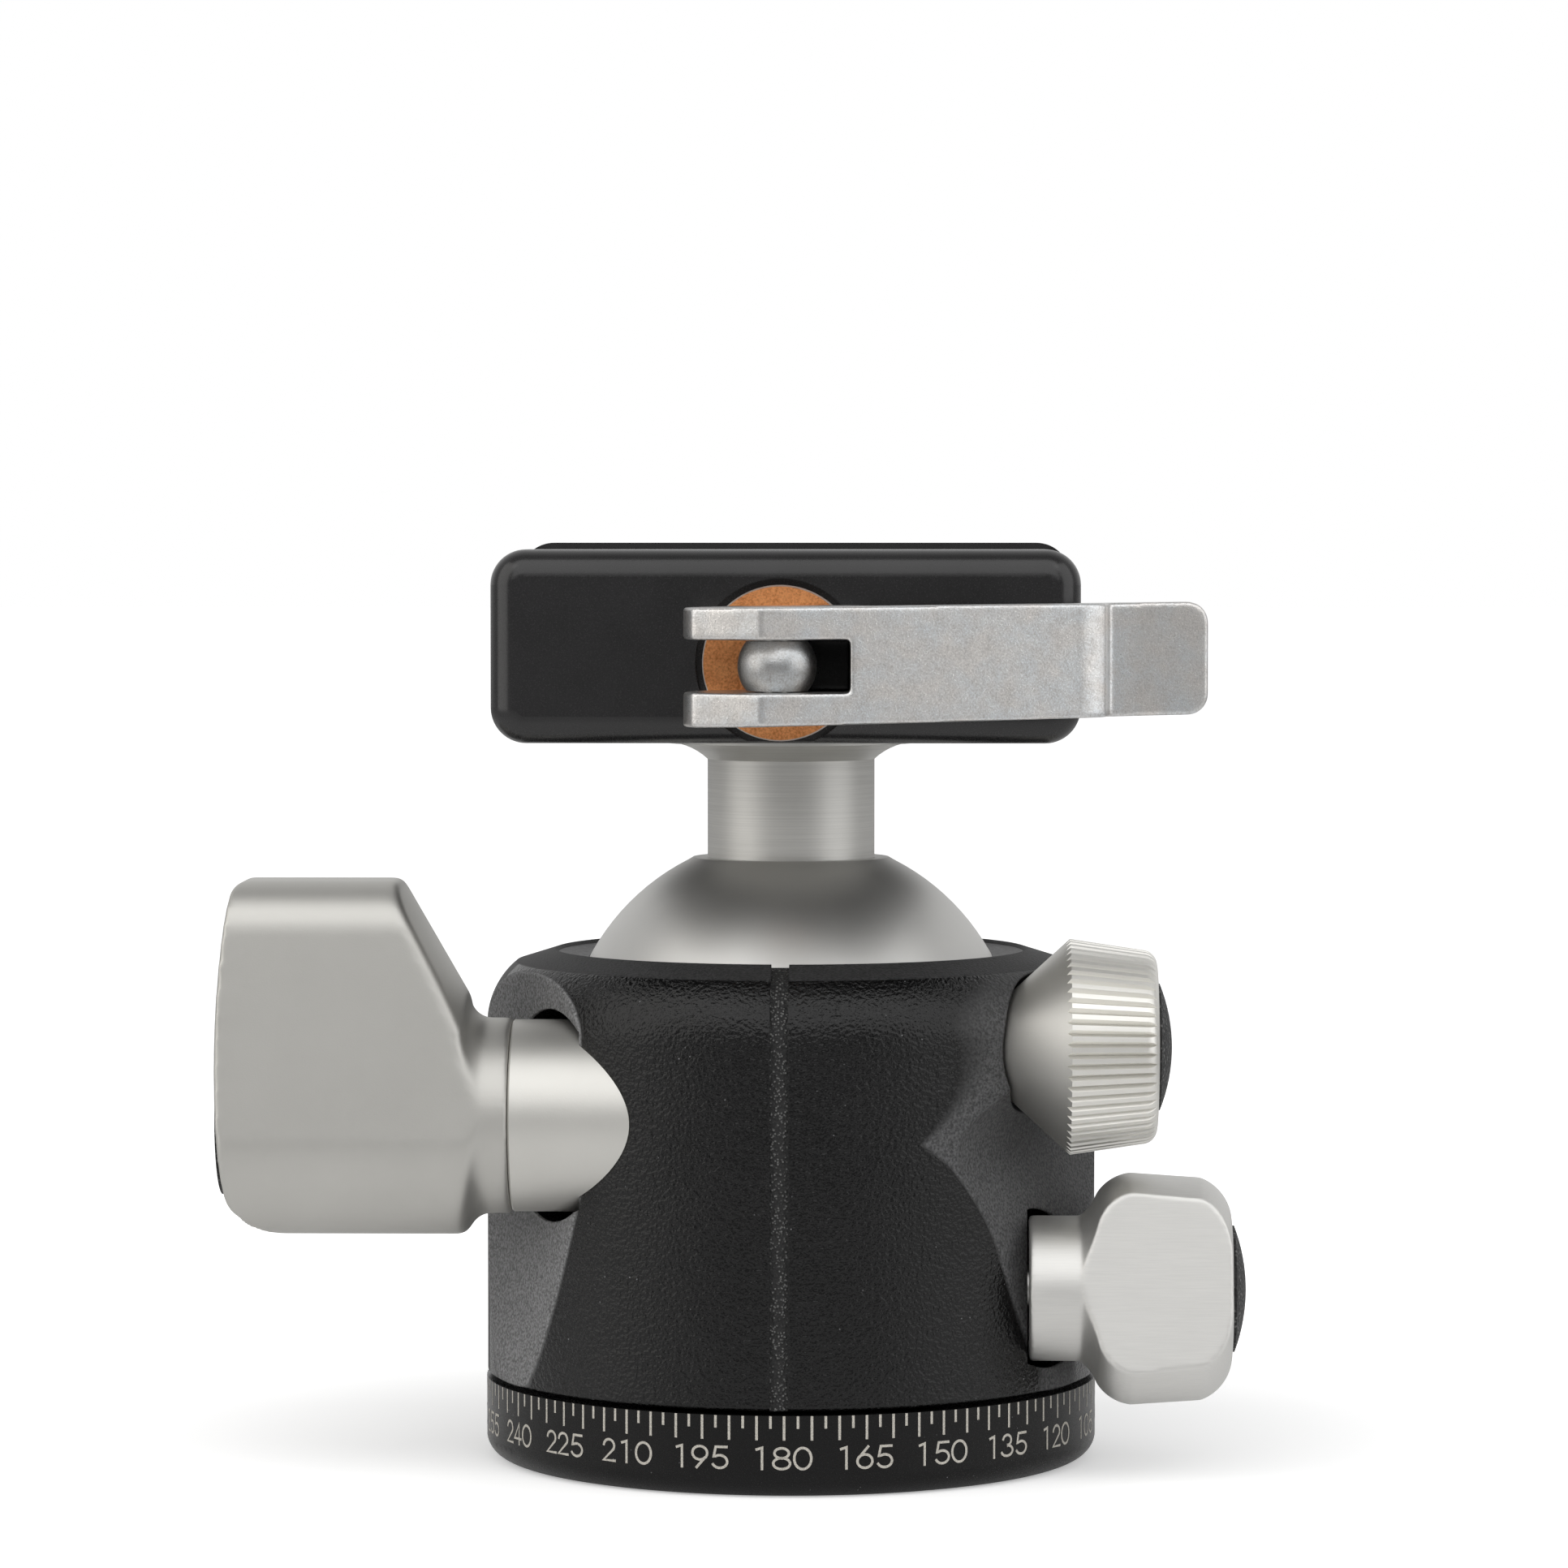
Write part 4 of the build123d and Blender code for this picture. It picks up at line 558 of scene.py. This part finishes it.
finish = {
    "pan_base": beaded_black("ring_black", 0.003, 0.26, **RING_BLACK),
    "thread_insert": brushed_metal("insert_steel", 0.55, 0.3, (900, 900, 60)),
    "pan_drum": satin_metal("drum_aluminium", 0.62, 0.4),
    "drum_screws": brushed_metal("screw_steel", 0.45, 0.3, (2500, 2500, 2500)),
    "pan_washer": moulded("washer_plastic", (0.7, 0.69, 0.66)),
    "housing": housing_black("housing_black"),
    "slot_seal": granular("strip_grain", 0.055, 0.26 * MM, 0.12 * MM),
    "upper_seat": moulded("seat_plastic", (0.02, 0.02, 0.021)),
    "lower_seat": moulded("lower_seat_plastic", SHOE_WHITE),
    "main_sleeve": satin_metal("sleeve_anodised", 0.65, 0.46),
    "main_shoe": moulded("shoe_plastic", SHOE_WHITE),
    "friction_pad": moulded("pad_plastic", SHOE_WHITE),
    "pan_shoe": moulded("pan_shoe_plastic", SHOE_WHITE),
    "ball_stem": ball_and_neck("ball_silver", 0.66),
    "clamp_body": clamp_black("clamp_black", 0.015),
    "moving_jaw": clamp_black("jaw_black", 0.016),
    "guide_pins": brushed_metal("pin_steel", 0.5, 0.25, (300, 60, 300)),
    "washer_backing": brushed_metal("backing_steel", 0.6, 0.3, (2500, 900, 2500)),
    "cam_washer": copper("copper_washer"),
    "draw_rod": tumbled_metal("rod_steel", 0.5),
    "jaw_spring": brushed_metal("spring_steel", 0.5, 0.25, ALL_WAYS),
    "clamp_screw": brushed_metal("clamp_screw_steel", 0.3, 0.3, ALL_WAYS),
    # The lever, with the shade of its slot's pocket painted black
    "lever": tumbled_metal("tumbled_steel", 0.72, LEVER_POCKET_SHADE),
    "lever_pin": brushed_metal("lever_pin_steel", 0.55, 0.3, (1500, 1500, 200)),
    "main_knob": satin_metal("satin_anodised", 0.54, 0.48),
    "main_knob_cap": granular("main_cap_rubber", RUBBER_TONE),
    "main_screw": brushed_metal("main_screw_steel", 0.5, 0.3, TURNED_ABOUT_X),
    "friction_knob": satin_metal("friction_anodised", 0.77, 0.42),
    "friction_knob_cap": granular("friction_cap_rubber", RUBBER_TONE),
    "friction_screw": brushed_metal("friction_screw_steel", 0.5, 0.3, TURNED_ABOUT_X),
    "pan_knob": brushed_metal("pan_knob_brushed", 0.7, 0.5, (300, 9000, 9000)),
    "pan_knob_cap": granular("pan_cap_rubber", RUBBER_TONE),
    "pan_screw": brushed_metal("pan_screw_steel", 0.5, 0.3, TURNED_ABOUT_X),
}


def dress(obj, material):
    """Gives the whole of an object one material."""
    obj.data.materials.clear()
    obj.data.materials.append(material)
    obj.data.polygons.foreach_set("material_index", np.zeros(len(obj.data.polygons), np.int32))


for name, obj in nodes.items():
    dress(obj, finish[name])


# Pieces of the scene's own
def in_scene(name, data):
    """A new object in the scene, for a mesh, a lamp or a camera."""
    obj = bpy.data.objects.new(name, data)
    bpy.context.scene.collection.objects.link(obj)
    return obj


def new_piece(name, mesh, body, material, replaced=None):
    """A piece that moves with a body, with its finish and the node it replaces."""
    obj = in_scene(name, mesh)
    dress(obj, material)
    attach(obj, body)
    if replaced:
        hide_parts(replaced)
    return obj


def shade_smooth(mesh):
    """Shades every face of a mesh smoothly."""
    mesh.polygons.foreach_set("use_smooth", np.ones(len(mesh.polygons), bool))


def read_spots(mesh):
    """The places of a mesh's points, one row each."""
    spots = np.zeros(len(mesh.vertices) * 3, np.float32)
    mesh.vertices.foreach_get("co", spots)
    return spots.reshape(-1, 3)


def write_spots(mesh, spots):
    """Gives a mesh's points new places."""
    mesh.vertices.foreach_set("co", spots.ravel())


def softened(node, slot, voxel, rounds, kept):
    """A copy of a CAD node's mesh with every edge rounded over about the voxel's size.

    Of its faces the share kept stays, so that flat stretches hold few."""
    source = nodes[node]
    mesh = source.data.copy()
    work = in_scene("work", mesh)
    remesh = work.modifiers.new("remesh", "REMESH")
    remesh.mode = "VOXEL"
    remesh.voxel_size = voxel
    remesh.use_smooth_shade = True
    smooth = work.modifiers.new("smooth", "SMOOTH")
    smooth.factor = 0.5
    smooth.iterations = rounds
    if kept < 1:
        work.modifiers.new("fewer", "DECIMATE").ratio = kept
    graph = bpy.context.evaluated_depsgraph_get()
    made = bpy.data.meshes.new_from_object(work.evaluated_get(graph))
    bpy.data.objects.remove(work)
    bpy.data.meshes.remove(mesh)
    shade_smooth(made)
    return new_piece(node + "_dressed", made, source["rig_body"], finish[node], node)


dressed = {node: softened(node, *how) for node, how in SOFTENED.items()}

# The main knob's collar reaches to the sleeve's end again, where the smoothing has drawn it back
sleeve_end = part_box("main_sleeve")[0][0]
knob_mesh = dressed["main_knob"].data
spots = read_spots(knob_mesh)
near = np.clip((spots[:, 0] - sleeve_end + COLLAR_REACH) / COLLAR_REACH, 0, 1)
spots[:, 0] += near * (sleeve_end - spots[:, 0].max())
write_spots(knob_mesh, spots)

# The ring's skin stands a hair inside the CAD's, so that the marks on it stay inside the box
ring_mesh = nodes["pan_base"].data.copy()
spots = read_spots(ring_mesh)
reach = np.hypot(spots[:, 0], spots[:, 1])
outer = reach > RING_RADIUS - RING_TOLERANCE
spots[outer, :2] *= ((RING_RADIUS - RING_INSET) / reach[outer])[:, None]
write_spots(ring_mesh, spots)
new_piece("pan_base_dressed", ring_mesh, "base", finish["pan_base"], "pan_base")


# Degree marks
def arc(cx, cy, rx, ry, start, end, steps):
    """Points of an ellipse's arc, angles in degrees counted from +x towards +y."""
    angles = [math.radians(start + (end - start) * n / steps) for n in range(steps + 1)]
    return [(cx + rx * math.cos(a), cy + ry * math.sin(a)) for a in angles]


# Each figure's width and the centre lines of its strokes, in a cell one unit tall
FIGURES = {
    "0": (0.82, [arc(0.41, 0.5, 0.355, 0.44, 90, 450, 36)]),
    "1": (0.33, [[(0.05, 0.87), (0.27, 0.94), (0.27, 0.06)]]),
    "2": (0.70, [arc(0.35, 0.68, 0.27, 0.26, 172, -35, 20) + [(0.06, 0.06), (0.65, 0.06)]]),
    "3": (0.73, [arc(0.34, 0.72, 0.24, 0.22, 165, -90, 18) + arc(0.34, 0.28, 0.33, 0.22, 90, -160, 18)]),
    "4": (0.70, [[(0.50, 0.06), (0.50, 0.94), (0.06, 0.28), (0.66, 0.28)]]),
    "5": (
        0.79,
        [[(0.71, 0.94), (0.25, 0.94), (0.17, 0.54)] + arc(0.42, 0.325, 0.32, 0.265, 122, -152, 24)],
    ),
    "6": (0.75, [[(0.51, 0.94), (0.14, 0.52)] + arc(0.375, 0.34, 0.32, 0.28, 140, 500, 30)]),
    "7": (0.68, [[(0.06, 0.94), (0.63, 0.94), (0.23, 0.06)]]),
    "8": (0.81, [arc(0.405, 0.72, 0.30, 0.21, 90, 450, 28), arc(0.405, 0.29, 0.35, 0.23, 90, 450, 30)]),
    "9": (0.75, [[(0.24, 0.06), (0.61, 0.48)] + arc(0.375, 0.66, 0.32, 0.28, -40, 320, 30)]),
}


def gap_between(before, after):
    """Gap between two figures of a number, in units of their height."""
    left, right = ROOM_BESIDE_ONE
    return FIGURE_GAP + (right if before == "1" else 0) + (left if after == "1" else 0)


def unit_rows(rows):
    """Each row of an array with its length made one."""
    return rows / np.maximum(np.hypot(rows[:, 0], rows[:, 1]), TINY)[:, None]


def ribbon(points, half):
    """Left and right sides of a stroke of even width along points."""
    p = np.array(points)
    d = unit_rows(np.diff(p, axis=0))
    t = np.vstack([d[:1], d[:-1] + d[1:], d[-1:]])
    closed = np.allclose(p[0], p[-1])
    if closed:
        t[0] = t[-1] = d[0] + d[-1]
    t = unit_rows(t)
    n = np.stack([-t[:, 1], t[:, 0]], 1)
    spread = np.ones(len(p))
    for i in range(1, len(p) - 1):
        spread[i] = 1 / max(SHARPEST_BEND, abs(float(np.dot(n[i], [-d[i][1], d[i][0]]))))
    n = n * (half * spread)[:, None]
    if not closed:
        p[0] = p[0] - d[0] * half
        p[-1] = p[-1] + d[-1] * half
    return p + n, p - n


def wrap(x, z):
    """A point of the ring's skin, x along it to the right from the front."""
    r = RING_RADIUS - MARK_INSET
    a = x / r
    return (r * math.sin(a), -r * math.cos(a), z)


def strip(bm, left, right):
    """A band of faces on the ring's skin between two sides."""
    rows = [(bm.verts.new(wrap(*a)), bm.verts.new(wrap(*b))) for a, b in zip(left, right)]
    for (a, b), (c, d) in zip(rows, rows[1:]):
        bm.faces.new((a, b, d, c))


marks = bmesh.new()
for n in range(round(360 / TICK_STEP)):
    x = RING_RADIUS * math.radians(n * TICK_STEP)
    low = LONG_TICK_END if n % 2 == 0 else SHORT_TICK_END
    left, right = ([(x + side, TICK_TOP), (x + side, low)] for side in (-TICK_WIDTH / 2, TICK_WIDTH / 2))
    strip(marks, left, right)

for degrees in range(0, 360, NUMBER_STEP):
    text = str(degrees)
    gaps = [gap_between(a, b) for a, b in zip(text, text[1:])] + [0]
    cursor = -(sum(FIGURES[c][0] for c in text) + sum(gaps)) / 2
    centre = RING_RADIUS * math.radians(NUMBER_IN_FRONT - degrees)
    for c, gap in zip(text, gaps):
        width, strokes = FIGURES[c]
        for stroke in strokes:
            points = [
                (centre + (cursor + px) * NUMBER_HEIGHT, NUMBER_BOTTOM + py * NUMBER_HEIGHT)
                for px, py in stroke
            ]
            strip(marks, *ribbon(points, STROKE_WIDTH / 2))
        cursor += width + gap
marks_mesh = bpy.data.meshes.new("degree_marks")
marks.to_mesh(marks_mesh)
marks.free()
shade_smooth(marks_mesh)
new_piece("degree_marks", marks_mesh, "base", pale_mark("mark_pale"))


# Floor
def floor_material(name):
    """A pale floor with the head's contact shadow, which turns white for the camera further out."""
    material = bpy.data.materials.new(name)
    material.use_nodes = True
    g = Graph(material.node_tree)
    distance = g.add("ShaderNodeVectorMath", operation="LENGTH")
    g.link(g.add("ShaderNodeTexCoord").outputs["Object"], distance.inputs[0])
    shade, glowing = (
        g.ramp(distance.outputs["Value"], reach * FLOOR_NEAR_SHARE, reach, near, far, "SMOOTHSTEP")
        for near, far, reach in (FLOOR_SHADE, FLOOR_GLOW)
    )
    path = g.add("ShaderNodeLightPath")
    seen = g.math("MULTIPLY", path.outputs["Is Camera Ray"], glowing)
    reflected = g.math("MULTIPLY", g.mirrored(path), FLOOR_MIRRORED)
    diffuse = g.add("ShaderNodeBsdfDiffuse")
    g.link(shade, diffuse.inputs["Color"])
    glow = g.add("ShaderNodeEmission")
    glow.inputs["Color"].default_value = WHITE
    g.link(g.math("MAXIMUM", seen, reflected), glow.inputs["Strength"])
    total = g.add("ShaderNodeAddShader")
    g.link(diffuse.outputs[0], total.inputs[0])
    g.link(glow.outputs[0], total.inputs[1])
    g.link(total.outputs[0], g.add("ShaderNodeOutputMaterial").inputs["Surface"])
    return material


floor_mesh = bpy.data.meshes.new("floor")
corners = [(x * FLOOR_HALF, y * FLOOR_HALF, 0) for x, y in ((-1, -1), (1, -1), (1, 1), (-1, 1))]
floor_mesh.from_pydata(corners, [], [(0, 1, 2, 3)])
floor_mesh.materials.append(floor_material("floor_white"))
floor = in_scene("floor", floor_mesh)

# Room: white for the camera, and lit by a wall behind the head and a roof for everything else
world = bpy.data.worlds.new("room")
bpy.context.scene.world = world
world.use_nodes = True
room = Graph(world.node_tree)
toward = room.axes(room.add("ShaderNodeTexCoord").outputs["Generated"])


def room_light(front, back, top):
    """Light of a room: dim behind the camera, a bright wall behind the head, a middling roof."""
    wall = room.ramp(toward["Y"], *WALL_EDGES, front, back, "SMOOTHSTEP")
    roof = room.ramp(toward["Z"], *ROOF_EDGES, 0.0, top, "SMOOTHSTEP")
    light = room.add("ShaderNodeBackground")
    room.link(room.math("MAXIMUM", wall, roof), light.inputs["Strength"])
    return light.outputs[0]


room_path = room.add("ShaderNodeLightPath")
white = room.add("ShaderNodeBackground")
white.inputs["Color"].default_value = WHITE
lit = room.mix_shaders(room.mirrored(room_path), room_light(*ROOM_DIFFUSE), room_light(*ROOM_MIRRORED))
shown = room.mix_shaders(room_path.outputs["Is Camera Ray"], lit, white.outputs[0])
room.link(shown, room.add("ShaderNodeOutputWorld").inputs["Surface"])


# Lamps and camera
def outward(azimuth, elevation):
    """The direction from the head to a place, by angles in radians; azimuth 0 is the front, + right."""
    return Vector((
        math.sin(azimuth) * math.cos(elevation),
        -math.cos(azimuth) * math.cos(elevation),
        math.sin(elevation),
    ))


def turn(obj, forward):
    """Turns a lamp or the camera so that it looks forward."""
    obj.rotation_mode = "QUATERNION"
    obj.rotation_quaternion = forward.to_track_quat("-Z", "Y")


def softbox(name, azimuth, elevation, distance, width, height, power, tone=(1, 1, 1)):
    """A rectangular lamp that faces the head: angles in degrees, sizes in metres, power in watts."""
    data = bpy.data.lights.new(name, "AREA")
    data.shape = "RECTANGLE"
    data.size, data.size_y = width, height
    data.energy = power
    data.color = tone
    lamp = in_scene(name, data)
    away = outward(math.radians(azimuth), math.radians(elevation))
    lamp.location = LAMP_TARGET + away * distance
    turn(lamp, -away)
    lamp.visible_camera = False


softbox("left_box", -65, 16, distance=0.7, width=0.62, height=1.1, power=3.3, tone=(1.0, 0.985, 0.96))
softbox("right_box", 65, 16, distance=0.7, width=0.62, height=1.1, power=3.0)
softbox("top_box", 0, 45, distance=0.8, width=0.9, height=0.95, power=4.0)

camera_data = bpy.data.cameras.new("camera")
camera_data.sensor_width = SENSOR_WIDTH
camera_data.lens = FOCAL_PIXELS / PHOTO_PIXELS * SENSOR_WIDTH
camera_data.shift_x = -(PRINCIPAL_X - PHOTO_PIXELS / 2) / PHOTO_PIXELS
camera_data.clip_start = CLIP_START
camera_data.clip_end = CLIP_END
camera = in_scene("camera", camera_data)
camera.location = (
    CAMERA_DISTANCE * math.sin(CAMERA_AZIMUTH),
    -CAMERA_DISTANCE * math.cos(CAMERA_AZIMUTH),
    CAMERA_HEIGHT,
)
turn(camera, -outward(CAMERA_AZIMUTH, CAMERA_PITCH))
bpy.context.scene.camera = camera
bpy.context.scene.view_settings.view_transform = "Standard"
